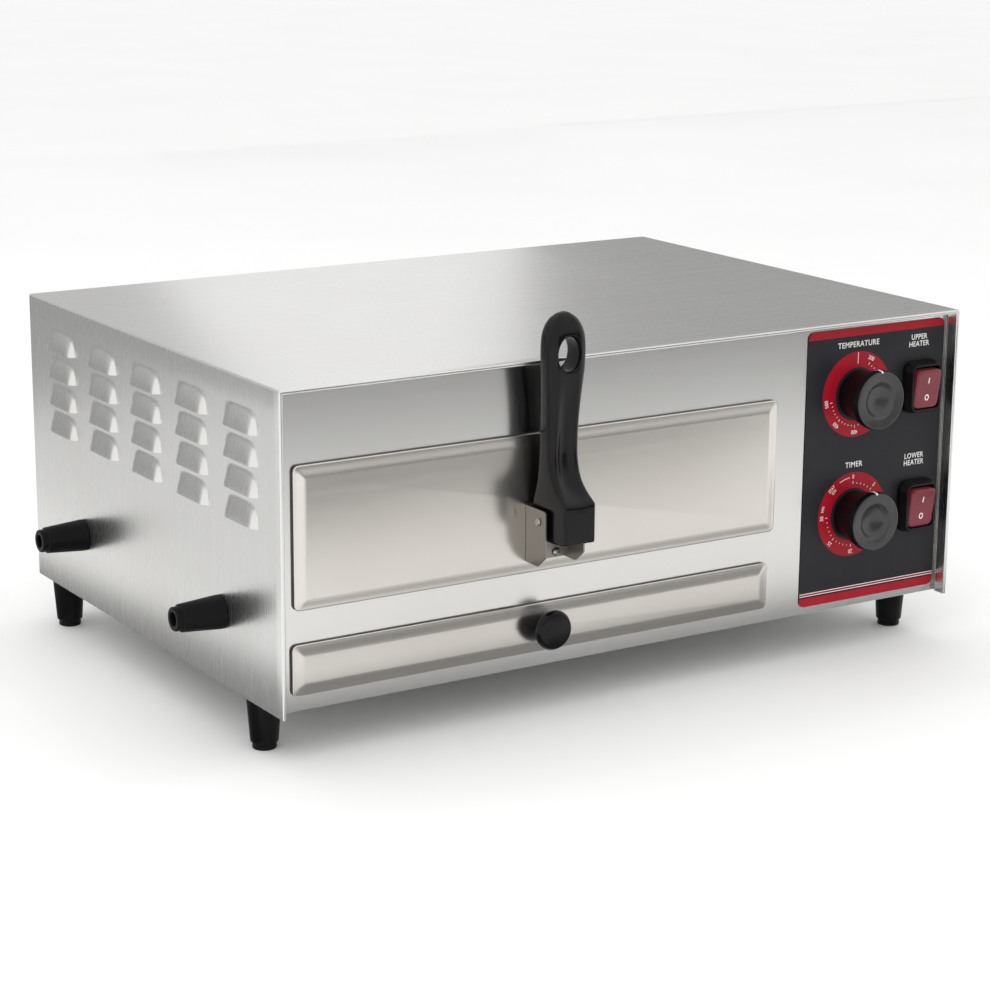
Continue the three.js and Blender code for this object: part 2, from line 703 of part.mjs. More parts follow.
function makeHandle() {
  const bulk = plate("profile", handleSide(), HANDLE_X - 20, HANDLE_X + 20);
  const grip = bulk.intersect(plate("front", handleFace(), -60, 40));
  return grip.subtract(bar("x", PIN_R + GAP, 150, 300, [PIVOT_Y, PIVOT_Z], 12));
}

// The pivot pin, headed outside both ears.
function makePin() {
  const reach = BRACKET_W / 2 + GAP;
  const pin = turned([
    [0, -reach - 1.2],
    [2.2, -reach - 1.2],
    [3, -reach],
    [PIN_R, -reach],
    [PIN_R, reach],
    [3, reach],
    [2.2, reach + 1.2],
    [0, reach + 1.2],
  ], 12);
  return along("x", pin).translate(HANDLE_X, PIVOT_Y, PIVOT_Z);
}

// A pan-head screw along +Y whose head stands on y = 0 and whose shank goes on behind it.
function makeScrewShape(headR, headH, shankR, shankL) {
  return turned([
    [0, -headH],
    [headR * 0.7, -headH],
    [headR, -headH * 0.4],
    [headR, 0],
    [shankR, 0],
    [shankR, shankL],
    [0, shankL],
  ], 12);
}

const BRACKET_SCREW_Z = 86;
const bracketScrewXs = [HANDLE_X - 8.5, HANDLE_X + 8.5];
const screwHoles = bracketScrewXs.map((x) => bar("y", 2, -60, 60, [x, BRACKET_SCREW_Z], 12));
piece("handle_bracket", dullSteel, cutAll(makeBracket(), screwHoles));
piece("handle", blackPlastic, makeHandle());
piece("handle_pin", fastenerSteel, makePin());
bracketScrewXs.forEach((x, i) => {
  const mesh = piece(`bracket_screw_${i + 1}`, fastenerSteel, makeScrewShape(3.1, 1.8, 1.6, 1.4));
  mesh.position.set(x, WEB_FRONT - GAP, BRACKET_SCREW_Z);
});

// ---------------------------------------------------------------------------------------------
// Crumb tray

const TRAY_KNOB_Z = 31;

function makeTray() {
  const [x0, x1] = [TRAY_MOUTH.x0 + 1.5, TRAY_MOUTH.x1 - 1.5];
  const front = BEZEL_Y + BEZEL_T + GAP;
  return box(x0, x1, front, TRAY_BACK_Y, TRAY_FLOOR_Z, TRAY_RIM_Z).subtract(
    box(x0 + SHEET, x1 - SHEET, front + SHEET, TRAY_BACK_Y - SHEET, TRAY_FLOOR_Z + SHEET, CASE_H),
  );
}

// The pull: a thick disc on a narrower stem, standing on the tray's front.
function makeTrayKnob() {
  const knob = turned([
    [0, 0],
    [7.5, 0],
    [6.2, 3],
    [6.4, 7],
    [13, 8.6],
    [14.8, 10.4],
    [14.8, 13.2],
    [13, 15.6],
    [0, 16.6],
  ], 20);
  return knob.rotateX(Math.PI).translate(HANDLE_X, BEZEL_Y - GAP, TRAY_KNOB_Z);
}

piece("crumb_tray_pan", linerSteel, makeTray());
piece("crumb_tray_front", dullSteel, makeBezel(TRAY_FRONT));
piece("crumb_tray_knob", blackPlastic, makeTrayKnob());

// ---------------------------------------------------------------------------------------------
// Controls

piece(
  "control_overlay",
  overlayVinyl,
  cutAll(
    roundedPlate(OVERLAY, 5, PANEL_Y - GAP - OVERLAY_T, PANEL_Y - GAP),
    controlHoles(8),
  ),
);

// A round knob with a skirt that widens to its face and a shallow dish in the face.
function makeKnob(z) {
  const depth = PANEL_Y - 1.5 - KNOB_FRONT;
  const knob = turned([
    [SHAFT_R + GAP, 0],
    [18, 0],
    [KNOB_R - 0.6, depth - 8],
    [KNOB_R, depth - 2],
    [KNOB_R - 2, depth],
    [13.2, depth - 0.4],
    [8, depth - 3],
    [0, depth - 3.8],
    [0, 14],
    [SHAFT_R + GAP, 14],
    [SHAFT_R + GAP, 0],
  ], 24);
  return knob.rotateX(Math.PI).translate(KNOB_X, PANEL_Y - 1.5, z);
}

// What a knob turns: a case behind the panel, open at its back, with a bush in the panel's hole.
function makeControlCase(z, width, depth, height) {
  const front = PANEL_Y + SHEET + GAP;
  const [x0, x1] = [KNOB_X - width / 2, KNOB_X + width / 2];
  const [z0, z1] = [z - height / 2, z + height / 2];
  const shell = box(x0, x1, front, front + depth, z0, z1).subtract(
    box(x0 + SHEET, x1 - SHEET, front + 3, front + depth + 1, z0 + SHEET, z1 - SHEET),
  );
  const bush = bar("y", 5, PANEL_Y - GAP, front + 2, [KNOB_X, z], 12);
  return shell.add(bush).subtract(bar("y", SHAFT_R + GAP, 0, front + 10, [KNOB_X, z], 12));
}

const makeShaft = (z) =>
  bar("y", SHAFT_R, -1.5, PANEL_Y + SHEET + 9.5, [KNOB_X, z], 12);

const controls = [
  ["temperature_knob", "thermostat_shaft", "thermostat_case", UPPER_Z, [38, 30, 46]],
  ["timer_knob", "timer_shaft", "timer_case", LOWER_Z, [52, 42, 60]],
];
for (const [knobName, shaftName, caseName, z, [width, depth, height]] of controls) {
  piece(knobName, knobPlastic, makeKnob(z));
  piece(shaftName, fastenerSteel, makeShaft(z));
  piece(caseName, linerSteel, makeControlCase(z, width, depth, height));
}

// The thermostat's sensing bulb in the chamber, on its thin tube from the thermostat's case.
function makeBulb() {
  const route = new THREE.CatmullRomCurve3([
    new THREE.Vector3(KNOB_X - 8, PANEL_Y + 24, UPPER_Z - 8),
    new THREE.Vector3(KNOB_X - 10, PANEL_Y + 41, UPPER_Z - 11),
    new THREE.Vector3(KNOB_X - 30, CAPILLARY_Y, BULB_Z + 8),
    new THREE.Vector3(DIVIDER_X + 12, CAPILLARY_Y, BULB_Z),
    new THREE.Vector3(CHAMBER.x1 - 2, CAPILLARY_Y, BULB_Z),
    new THREE.Vector3(BULB_X, CAPILLARY_Y + 12, BULB_Z),
    new THREE.Vector3(BULB_X, CAPILLARY_Y + 32, BULB_Z),
  ]);
  const tube = wire(route.getSpacedPoints(18), 1.1, 6);
  return tube.add(bar("y", 3.2, CAPILLARY_Y + 30, CAPILLARY_Y + 120, [BULB_X, BULB_Z], 12));
}
piece("thermostat_bulb", copper, makeBulb());

// A rocker switch's housing: a sloping surround on the panel, a pocket for the rocker and a body
// that goes through the panel.
function makeSwitchHousing(z) {
  const foot = PANEL_Y - 2 * GAP - OVERLAY_T;
  const area = (w, h) => ({
    x0: SWITCH_X - w / 2,
    x1: SWITCH_X + w / 2,
    z0: z - h / 2,
    z1: z + h / 2,
  });
  const surround = loft([
    roundedRing(area(SWITCH_W, SWITCH_H), 0, 7, foot),
    roundedRing(area(SWITCH_W, SWITCH_H), 0, 7, foot - 4),
    roundedRing(area(SWITCH_W, SWITCH_H), 2, 6, SWITCH_FRONT),
  ]);
  const body = box(SWITCH_X - 11.5, SWITCH_X + 11.5, foot - 1, 36, z - 15.5, z + 15.5);
  const [pocketW, pocketH] = [ROCKER_W + 1.2, ROCKER_H + 2.8];
  const pocket = loft([
    roundedRing(area(pocketW, pocketH), 0, 3, SWITCH_FRONT - 2),
    roundedRing(area(pocketW, pocketH), 0, 3, foot - 0.8),
  ]);
  const well = bar("x", 7.6, SWITCH_X - 10, SWITCH_X + 10, [ROCKER_PIVOT_Y + 2, z], 20);
  return surround.add(body).subtract(pocket).subtract(well);
}

// The rocker about its pivot at the origin, with a slightly hollow face towards -Y.
function makeRocker() {
  const half = ROCKER_H / 2;
  const outline = new THREE.Shape();
  outline.moveTo(-6.3, -half + 0.8);
  outline.quadraticCurveTo(-4.9, 0, -6.3, half - 0.8);
  outline.lineTo(-5.6, half);
  outline.lineTo(-0.6, half - 0.6);
  outline.lineTo(2.6, 3.4);
  outline.lineTo(2.6, -3.4);
  outline.lineTo(-0.6, -half + 0.6);
  outline.lineTo(-5.6, -half);
  const area = { x0: -ROCKER_W / 2, x1: ROCKER_W / 2, z0: -half, z1: half };
  return plate("profile", outline, -ROCKER_W / 2, ROCKER_W / 2).intersect(
    loft([roundedRing(area, 0, 3, -20), roundedRing(area, 0, 3, 20)]),
  );
}

for (const [place, z] of [["upper", UPPER_Z], ["lower", LOWER_Z]]) {
  piece(`${place}_switch_housing`, switchBlack, makeSwitchHousing(z));
  const rocker = piece(`${place}_switch_rocker`, rockerRed, makeRocker());
  rocker.rotation.x = ROCKER_TILT;
  rocker.position.set(SWITCH_X, ROCKER_PIVOT_Y, z);
}

// Where the supply joins the oven's own wiring.
function makeTerminalBlock() {
  const [x0, y0, z0] = [DIVIDER_X + SHEET + GAP, 350, 60];
  const block = box(x0, x0 + 18, y0, y0 + 52, z0, z0 + 22);
  const slots = [0, 1, 2].map((i) => bar("x", 4, x0 + 8, x0 + 30, [y0 + 11 + 15 * i, z0 + 11], 8));
  return cutAll(block, slots);
}

// The bush in the back panel that a supply cord passes through.
function makeGland() {
  const inside = BACK_Y - GAP;
  const outside = CASE_D + GAP;
  const gland = turned([
    [4, inside - 6],
    [11, inside - 6],
    [11.5, inside],
    [8.6, inside],
    [8.6, outside],
    [12.5, outside],
    [12.5, outside + 3],
    [8.5, outside + 5],
    [6.6, GLAND_BACK],
    [4, GLAND_BACK],
    [4, inside - 6],
  ], 16);
  return gland.translate(GLAND_X, 0, GLAND_Z);
}

piece("terminal_block", terminalPlastic, makeTerminalBlock());
piece("cord_gland", blackPlastic, makeGland());

// The part's origin is under the middle of the whole oven, on the surface that its feet stand on.
parts.position.set(-CASE_W / 2, -(HANDLE_FRONT + GLAND_BACK) / 2, FOOT_L + GAP);

export default parts;
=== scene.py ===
"""Looks for the countertop pizza oven: camera, light, floor, materials and the fine meshes that
stand for some of the CAD model's nodes. Everything is in metres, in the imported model's frame."""

import json
import math

import bmesh
import bpy
from mathutils import Matrix, Vector


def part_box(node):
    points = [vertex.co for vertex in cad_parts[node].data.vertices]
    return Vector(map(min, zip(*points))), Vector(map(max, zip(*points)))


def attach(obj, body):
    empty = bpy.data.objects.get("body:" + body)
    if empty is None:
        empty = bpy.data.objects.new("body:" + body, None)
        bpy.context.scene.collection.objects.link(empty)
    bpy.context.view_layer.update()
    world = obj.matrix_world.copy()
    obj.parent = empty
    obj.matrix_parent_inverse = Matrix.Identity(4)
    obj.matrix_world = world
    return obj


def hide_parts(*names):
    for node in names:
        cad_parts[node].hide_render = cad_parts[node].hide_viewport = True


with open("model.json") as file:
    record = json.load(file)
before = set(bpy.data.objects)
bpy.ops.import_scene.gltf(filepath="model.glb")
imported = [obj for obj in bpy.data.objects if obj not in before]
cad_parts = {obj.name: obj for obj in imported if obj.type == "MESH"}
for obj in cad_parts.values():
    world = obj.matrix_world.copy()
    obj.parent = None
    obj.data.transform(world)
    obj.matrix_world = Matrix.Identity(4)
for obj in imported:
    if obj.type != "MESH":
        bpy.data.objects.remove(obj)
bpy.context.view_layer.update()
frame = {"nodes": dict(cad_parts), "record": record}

MM = 0.001
TURN = 2 * math.pi
ARC_STEPS = 5


def centre(node):
    """The middle of a CAD node's box."""
    low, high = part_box(node)
    return (low + high) / 2


def linked(name, data):
    """A new object in the scene."""
    made = bpy.data.objects.new(name, data)
    bpy.context.scene.collection.objects.link(made)
    return made


def finished_mesh(piece):
    """A piece's mesh with its modifiers applied, or its letters as a mesh."""
    bpy.context.view_layer.update()
    graph = bpy.context.evaluated_depsgraph_get()
    return bpy.data.meshes.new_from_object(piece.evaluated_get(graph))


# ---- Driving sizes. Casing coordinates run in millimetres from the casing's left side, front edge
# and bottom edge, as the model's own do.
LOUVRE_OUT = 4.5
CASE_W = 597.0
CASE_D = 424.0
CASE_H = 230.0
SHEET = 1.0
GAP = 0.3
WRAP_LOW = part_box("outer_wrap")[0]
ORIGIN = Vector((WRAP_LOW.x + LOUVRE_OUT * MM, WRAP_LOW.y, WRAP_LOW.z))


def at(x, y, z):
    """A place in casing coordinates, as a point of the frame."""
    return ORIGIN + Vector((x, y, z)) * MM


# ---- Camera and light

def make_camera():
    """The camera stands to the left of the front and looks a little down."""
    azimuth, elevation, roll = (math.radians(angle) for angle in (32.371, -14.462, 0.43))
    forward = Vector((
        math.sin(azimuth) * math.cos(elevation),
        math.cos(azimuth) * math.cos(elevation),
        math.sin(elevation),
    ))
    data = bpy.data.cameras.new("camera")
    data.lens = 95.6
    data.sensor_width = 36.0
    camera = linked("camera", data)
    camera.rotation_mode = "QUATERNION"
    level = forward.to_track_quat("-Z", "Y")
    camera.rotation_quaternion = level @ Matrix.Rotation(roll, 3, "Z").to_quaternion()
    camera.location = at(-788, -1510.6, 598.5)
    bpy.context.scene.camera = camera


def area_light(name, place, target, size, watts):
    """A soft rectangular light that neither the camera nor the steel sees."""
    data = bpy.data.lights.new(name, "AREA")
    data.shape = "RECTANGLE"
    data.size, data.size_y = size
    data.energy = watts
    light = linked(name, data)
    light.location = place
    light.rotation_mode = "QUATERNION"
    light.rotation_quaternion = (Vector(target) - Vector(place)).to_track_quat("-Z", "Y")
    light.visible_camera = False
    light.visible_glossy = False


WORLD_STRENGTH = 1.0
FLOOR_SIZE = 60
FLOOR_CARD_Z = 0.004
# Grey cards standing in the studio, which the front and the top show: the x span, the place along Y,
# the z span and the tone
STANDING_CARDS = (
    ("front_card", (-0.12, 0.95), -1.0, (0.0, 0.34), 0.10),
    ("rear_left_card", (-4.0, 1.1), 3.0, (0.0, 3.0), 0.58),
    ("rear_right_card", (1.98, 7.0), 3.0, (0.0, 3.0), 0.37),
    ("rear_low_card", (-4.0, 7.0), 2.95, (0.0, 0.45), 0.32),
)
# Grey cards lying on the floor, which the steel's lower edges and its left side show: their corners
# and their tone
FLOOR_CARDS = (
    # The dark strip along the left side is a painted shadow: it stands for the floor's shade there, as the
    # side's lower edge reflects it
    ("left_floor_shadow_card", ((-0.297, -0.17), (-0.41, -0.17), (-0.355, 0.5), (-0.297, 0.5)), 0.24),
    ("left_middle_card", ((-0.43, 0.1), (-0.95, 0.1), (-0.95, 0.95), (-0.43, 0.95)), 0.76),
    ("left_rear_card", ((-0.40, 0.95), (-1.9, 0.95), (-1.9, 2.9), (-0.40, 2.9)), 0.34),
    ("front_strip_card", ((-0.30, -0.315), (0.55, -0.315), (0.55, -0.20), (-0.30, -0.20)), 0.22),
)


def make_card(name, corners, grey):
    """A flat grey card that only shows as a reflection in the steel."""
    data = bpy.data.meshes.new(name)
    data.from_pydata(corners, [], [(0, 1, 2, 3)])
    card = linked(name, data)
    made = Nodes(name)
    cloud = made.noise(2.0, detail=1.0)
    made.tree.nodes.remove(made.shader)
    tone = made.mix(cloud, shade((grey,) * 3, 0.9), shade((grey,) * 3, 1.1))
    glow = made.new("ShaderNodeEmission", Color=tone)
    made.tree.links.new(glow.outputs[0], made.tree.nodes["Material Output"].inputs["Surface"])
    data.materials.append(made.material)
    for ray in ("camera", "diffuse", "transmission", "volume_scatter", "shadow"):
        setattr(card, "visible_" + ray, False)


def make_light():
    """A white studio with a soft key from the left front, and grey cards for the steel to show."""
    world = bpy.data.worlds.new("studio")
    bpy.context.scene.world = world
    world.use_nodes = True
    background = world.node_tree.nodes["Background"]
    background.inputs["Color"].default_value = (1, 1, 1, 1)
    background.inputs["Strength"].default_value = WORLD_STRENGTH
    area_light("overhead", (0.0, -0.1, 1.9), (0, 0, 0), (2.4, 2.0), 9)
    area_light("key", (-1.5, -1.6, 1.5), (0, 0, 0.1), (1.2, 1.2), 7)
    for name, (x0, x1), y, (z0, z1), grey in STANDING_CARDS:
        make_card(name, [(x0, y, z0), (x1, y, z0), (x1, y, z1), (x0, y, z1)], grey)
    for name, corners, grey in FLOOR_CARDS:
        make_card(name, [(x, y, FLOOR_CARD_Z) for x, y in corners], grey)
    bpy.context.scene.view_settings.view_transform = "Standard"


def make_floor():
    """A plain pale floor under the feet."""
    bpy.ops.mesh.primitive_plane_add(size=FLOOR_SIZE, location=(0, 0, 0))
    floor = bpy.context.object
    floor.name = "floor"
    floor.data.materials.append(floor_paint())


# ---- Materials
MIX_FACTOR, MIX_FIRST, MIX_SECOND, MIX_RESULT = 0, 6, 7, 2
FINE_LINES = 1900
COARSE_LINES = 260
LINE_RANGE = (0.35, 0.65)


class Nodes:
    """A short way to write a material's nodes."""

    def __init__(self, name):
        self.material = bpy.data.materials.new(name)
        self.material.use_nodes = True
        self.tree = self.material.node_tree
        self.shader = self.tree.nodes["Principled BSDF"]

    def new(self, kind, settings=None, **inputs):
        """A node with its settings and inputs set."""
        node = self.tree.nodes.new(kind)
        for key, value in (settings or {}).items():
            setattr(node, key, value)
        for key, value in inputs.items():
            self.set(node, key.replace("_", " "), value)
        return node

    def set(self, node, socket, value):
        """Sets a socket, given by its name or place, to a value, or links it to another node's output."""
        target = node.inputs[socket]
        if isinstance(value, bpy.types.NodeSocket):
            self.tree.links.new(value, target)
        else:
            target.default_value = value

    def base(self, **inputs):
        """Sets the shader's own inputs."""
        for key, value in inputs.items():
            self.set(self.shader, key.replace("_", " "), value)

    def place(self, scale=(1, 1, 1)):
        """Object coordinates, stretched."""
        source = self.new("ShaderNodeTexCoord")
        mapping = self.new("ShaderNodeMapping", Vector=source.outputs["Object"], Scale=scale)
        return mapping.outputs["Vector"]

    def noise(self, scale, vector=None, detail=3.0, rough=0.5):
        vector = vector or self.place()
        node = self.new("ShaderNodeTexNoise", Vector=vector, Scale=scale, Detail=detail, Roughness=rough)
        return node.outputs["Fac"]

    def span(self, factor, low, high, source=(0.3, 0.7)):
        """A value mapped from one range to another."""
        node = self.new("ShaderNodeMapRange", Value=factor)
        self.set(node, "From Min", source[0])
        self.set(node, "From Max", source[1])
        self.set(node, "To Min", low)
        self.set(node, "To Max", high)
        return node.outputs["Result"]

    def mix(self, factor, low, high, blend="MIX"):
        """Two colours mixed by a factor."""
        node = self.new("ShaderNodeMix", {"data_type": "RGBA", "blend_type": blend})
        self.set(node, MIX_FACTOR, factor)
        self.set(node, MIX_FIRST, low)
        self.set(node, MIX_SECOND, high)
        return node.outputs[MIX_RESULT]

    def math(self, operation, first, second):
        node = self.new("ShaderNodeMath", {"operation": operation})
        self.set(node, 0, first)
        self.set(node, 1, second)
        return node.outputs[0]

    def bump(self, height, strength):
        """A relief a fifth of a millimetre deep at full strength."""
        node = self.new("ShaderNodeBump", Height=height, Strength=strength, Distance=0.0002)
        self.base(Normal=node.outputs["Normal"])


def shade(colour, factor):
    """A colour made lighter or darker."""
    return (*(min(1, channel * factor) for channel in colour), 1)


def floor_paint():
    """Pale matt paint with a faint mottle."""
    made = Nodes("floor_paint")
    mottle = made.noise(3.0, detail=2.0)
    made.base(
        Base_Color=made.mix(made.span(mottle, 0, 1), (0.93, 0.93, 0.925, 1), (0.95, 0.95, 0.945, 1)),
        Roughness=0.7,
    )
    return made.material


def brushed(name, colour, roughness, grain, streak, relief, spread=0.05, anisotropy=0.0, turn=0.0):
    """Brushed metal. grain is the scale along each axis: small along the brushing, large across. streak is
    how much its lines differ in tone, and spread how much they differ in roughness."""
    made = Nodes(name)
    fine = made.noise(1.0, made.place([value * FINE_LINES for value in grain]), detail=2.0, rough=0.6)
    coarse = made.noise(1.0, made.place([value * COARSE_LINES for value in grain]), detail=3.0, rough=0.55)
    cloud = made.noise(9.0, detail=2.0)
    line = made.math("ADD", made.math("MULTIPLY", fine, 0.6), made.math("MULTIPLY", coarse, 0.4))
    tone = made.mix(made.span(line, 0, 1, LINE_RANGE), shade(colour, 1 - streak), shade(colour, 1 + streak))
    warm = made.mix(made.span(cloud, 0, 1), (1, 1, 1, 1), (0.97, 0.965, 0.955, 1))
    made.base(
        Base_Color=made.mix(1.0, tone, warm, "MULTIPLY"),
        Metallic=1.0,
        Roughness=made.span(line, roughness - spread, roughness + spread, LINE_RANGE),
        Anisotropic=anisotropy,
        Anisotropic_Rotation=turn,
    )
    if anisotropy:
        tangent = made.new("ShaderNodeTangent", {"direction_type": "RADIAL", "axis": "Z"})
        made.base(Tangent=tangent.outputs[0])
    made.bump(line, relief)
    return made.material


def moulded(name, colour, roughness, grain=900.0, relief=0.08, mottle=0.25, gloss=0.35):
    """Moulded plastic or rubber with a fine surface texture and faint marks from handling."""
    made = Nodes(name)
    texture = made.noise(grain, detail=3.0)
    smear = made.noise(38.0, detail=3.0, rough=0.6)
    made.base(
        Base_Color=made.mix(made.span(smear, 0, 1), shade(colour, 1 - mottle), shade(colour, 1 + mottle)),
        Roughness=made.span(smear, roughness - 0.07, roughness + 0.07),
    )
    made.shader.inputs["Specular IOR Level"].default_value = gloss
    made.bump(texture, relief)
    return made.material


make_camera()
make_light()
make_floor()

# Scales of the brushing: along the width of a panel, round the wrap's bends, and the same every way
ALONG_X = (0.006, 1.0, 1.0)
ALONG_BEND = (0.006, 1.0, 0.006)
EVEN = (1, 1, 1)
STEEL = (0.80, 0.795, 0.78)
WARM_STEEL = (0.76, 0.727, 0.685)
# Finishes that the nodes of a slot wear. After the colour come, for metal: roughness, grain, streak,
# relief, spread, anisotropy and its turn; for plastic: roughness, grain, relief, mottle and gloss.
finishes = {
    "casing_steel": brushed("panel_steel", STEEL, 0.21, ALONG_X, 0.012, 0.004, 0.006, 0.8, 0.25),
    "drawer_steel": brushed("drawer_steel", WARM_STEEL, 0.26, ALONG_X, 0.03, 0.006, 0.012, 0.6, 0.25),
    "inner_steel": brushed("inner_steel", (0.58, 0.58, 0.56), 0.42, ALONG_X, 0.05, 0.1),
    "element_sheath": brushed("element_sheath", (0.22, 0.20, 0.185), 0.5, EVEN, 0.2, 0.1),
    "rack_chrome": brushed("rack_chrome", (0.82, 0.82, 0.83), 0.12, EVEN, 0.02, 0.02),
    "fastener_steel": brushed("plated_steel", (0.42, 0.41, 0.39), 0.3, EVEN, 0.03, 0.03),
    "bulb_copper": brushed("bulb_copper", (0.72, 0.42, 0.29), 0.3, EVEN, 0.06, 0.05),
    "handle_plastic": moulded("handle_plastic", (0.0035, 0.0035, 0.0042), 0.20, relief=0.03, gloss=0.24),
    "foot_rubber": moulded("foot_rubber", (0.0035, 0.0035, 0.004), 0.40, relief=0.12, gloss=0.14),
    "knob_plastic": moulded("knob_plastic", (0.004, 0.004, 0.0045), 0.38, 1600.0, 0.12, gloss=0.1),
    "overlay_film": moulded("overlay_film", (0.020, 0.020, 0.024), 0.36, 1400.0, 0.08, 0.12, 0.20),
    "switch_plastic": moulded("switch_plastic", (0.005, 0.005, 0.0055), 0.33, relief=0.05, gloss=0.25),
    "rocker_plastic": moulded("rocker_red", (0.17, 0.022, 0.034), 0.26, 900.0, 0.02, 0.2, 0.4),
    "blanket_wool": moulded("blanket_wool", (0.78, 0.73, 0.60), 0.9, 300.0, 1.0),
    "terminal_plastic": moulded("terminal_plastic", (0.80, 0.76, 0.66), 0.5),
}
finishes["gland_plastic"] = finishes["handle_plastic"]
# Finishes that only some pieces wear
wrap_steel = brushed("wrap_steel", STEEL, 0.27, ALONG_BEND, 0.016, 0.006, 0.007)
bracket_steel = brushed("bracket_steel", (0.27, 0.255, 0.237), 0.32, ALONG_X, 0.03, 0.006, 0.012)
# Dark steel for the fronts' side walls: a painted shadow of the gap between each front and the panel
painted_gap_shadow = brushed("painted_gap_shadow", (0.10, 0.098, 0.095), 0.5, ALONG_X, 0.05, 0.05)
knob_face = moulded("knob_face", (0.034, 0.034, 0.036), 0.25, 1600.0, 0.12, 0.35, 0.5)
white_paint = moulded("white_paint", (0.80, 0.80, 0.78), 0.5, 1500.0, 0.05, 0.04)
red_ink = moulded("red_ink", (0.36, 0.006, 0.018), 0.42, 1400.0, 0.12, 0.08, 0.2)

slot_of = {entry["node"]: entry["material_slot"] for entry in frame["record"]["subparts"]}
for node_name, node_object in frame["nodes"].items():
    node_object.data.materials.clear()
    node_object.data.materials.append(finishes[slot_of[node_name]])
frame["nodes"]["outer_wrap"].data.materials[0] = wrap_steel
frame["nodes"]["handle_bracket"].data.materials[0] = bracket_steel


# ---- Mesh helpers

def new_piece(name, mesh, body, slot, replaced=(), material=None):
    """A mesh as a piece of a body. It wears its slot's finish or another, and may stand for CAD nodes."""
    made = linked(name, mesh)
    made.data.materials.append(material or finishes[slot])
    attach(made, body)
    if replaced:
        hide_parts(*replaced)
    return made


def smooth_mesh(name, build, sharp=35.0):
    """A bmesh as a mesh whose faces are smooth up to an angle, with its normals outwards."""
    bmesh.ops.remove_doubles(build, verts=build.verts, dist=1e-6)
    bmesh.ops.recalc_face_normals(build, faces=build.faces)
    for face in build.faces:
        face.smooth = True
    for edge in build.edges:
        if edge.is_manifold:
            edge.smooth = edge.calc_face_angle(0) < math.radians(sharp)
    mesh = bpy.data.meshes.new(name)
    build.to_mesh(mesh)
    build.free()
    return mesh


def built_piece(name, build, body, slot, replaced=(), material=None, sharp=35.0):
    """A bmesh as a piece."""
    return new_piece(name, smooth_mesh(name, build, sharp), body, slot, replaced, material)


def circle(sides, radius=1.0, other=None):
    """The [across, up] points of a circle, or of an ellipse when its other half size differs."""
    up = radius if other is None else other
    angles = [TURN * i / sides for i in range(sides)]
    return [(radius * math.cos(angle), up * math.sin(angle)) for angle in angles]


def add_rings(build, rings, cap_start=True, closed=False):
    """Skins a list of rings of equal length, and caps the ends or joins the last to the first."""
    rows = [[build.verts.new(point) for point in ring] for ring in rings]
    count = len(rings[0])
    pairs = list(zip(rows, rows[1:]))
    if closed:
        pairs.append((rows[-1], rows[0]))
    for lower, upper in pairs:
        for i in range(count):
            j = (i + 1) % count
            build.faces.new((lower[i], lower[j], upper[j], upper[i]))
    if cap_start and not closed:
        build.faces.new(list(reversed(rows[0])))
    if not closed:
        build.faces.new(rows[-1])


def lathe_rings(profile, middle, axis, sides=72):
    """Rings for a turned shape: profile lists [radius, distance along the axis] in millimetres."""
    axis = Vector(axis).normalized()
    side = axis.orthogonal().normalized()
    other = axis.cross(side)
    spokes = [side * across + other * up for across, up in circle(sides)]
    return [
        [middle + (axis * along + spoke * max(radius, 0.01)) * MM for spoke in spokes]
        for radius, along in profile
    ]


def turned(name, profile, middle, axis, sides=72, sharp=35.0):
    """A turned mesh. A profile that ends where it starts closes on itself, with no caps."""
    build = bmesh.new()
    closed = profile[0] == profile[-1]
    rings = lathe_rings(profile[:-1] if closed else profile, middle, axis, sides)
    add_rings(build, rings, closed=closed)
    return smooth_mesh(name, build, sharp)


def rounded_corner(profile, index, radius):
    """Replaces one corner of a profile by an arc that touches both of its sides."""
    before, corner, after = (Vector(profile[(index + k) % len(profile)]) for k in (-1, 0, 1))
    into, out = (before - corner).normalized(), (after - corner).normalized()
    half = into.angle(out) / 2
    reach = radius / math.tan(half)
    middle = corner + (into + out).normalized() * (radius / math.sin(half))
    start, end = corner + into * reach - middle, corner + out * reach - middle
    arc = []
    for step in range(ARC_STEPS + 1):
        spoke = start.lerp(end, step / ARC_STEPS).normalized() * radius
        arc.append(tuple(middle + spoke))
    return arc


def soften(profile, radii):
    """A profile with an arc at each corner that has a radius, given by the corner's index."""
    made = []
    for index, point in enumerate(profile):
        if radii.get(index):
            made += rounded_corner(profile, index, radii[index])
        else:
            made.append(tuple(point))
    return made


def rounded_loop(x0, x1, z0, z1, radius, inset=0.0, per_corner=6):
    """The [x, z] points of a rounded rectangle in casing coordinates."""
    r = max(radius, 0.2)
    points = []
    corners = (
        (x1 - inset - r, z1 - inset - r),
        (x0 + inset + r, z1 - inset - r),
        (x0 + inset + r, z0 + inset + r),
        (x1 - inset - r, z0 + inset + r),
    )
    for quarter, (x, z) in enumerate(corners):
        for i in range(per_corner + 1):
            angle = (quarter + i / per_corner) * TURN / 4
            points.append((x + r * math.cos(angle), z + r * math.sin(angle)))
    return points


def tube_rings(points, radius, sides=16):
    """Rings along a path, turned as little as possible from one to the next. The radius is in metres."""
    rings = []
    side = None
    for i, point in enumerate(points):
        ahead = (points[min(i + 1, len(points) - 1)] - points[max(i - 1, 0)]).normalized()
        side = ahead.orthogonal() if side is None else side - ahead * side.dot(ahead)
        side = side.normalized()
        other = ahead.cross(side)
        rings.append([point + (side * across + other * up) * radius for across, up in circle(sides)])
    return rings


def soften_edges(node, width):
    """Joins a CAD node's split corners and gives its edges a small radius."""
    weld = node.modifiers.new("weld", "WELD")
    weld.merge_threshold = 1e-5
    bevel = node.modifiers.new("edges", "BEVEL")
    bevel.width = width * MM
    bevel.segments = 2
    bevel.limit_method = "ANGLE"
    bevel.angle_limit = math.radians(30)
    bevel.miter_outer = "MITER_ARC"


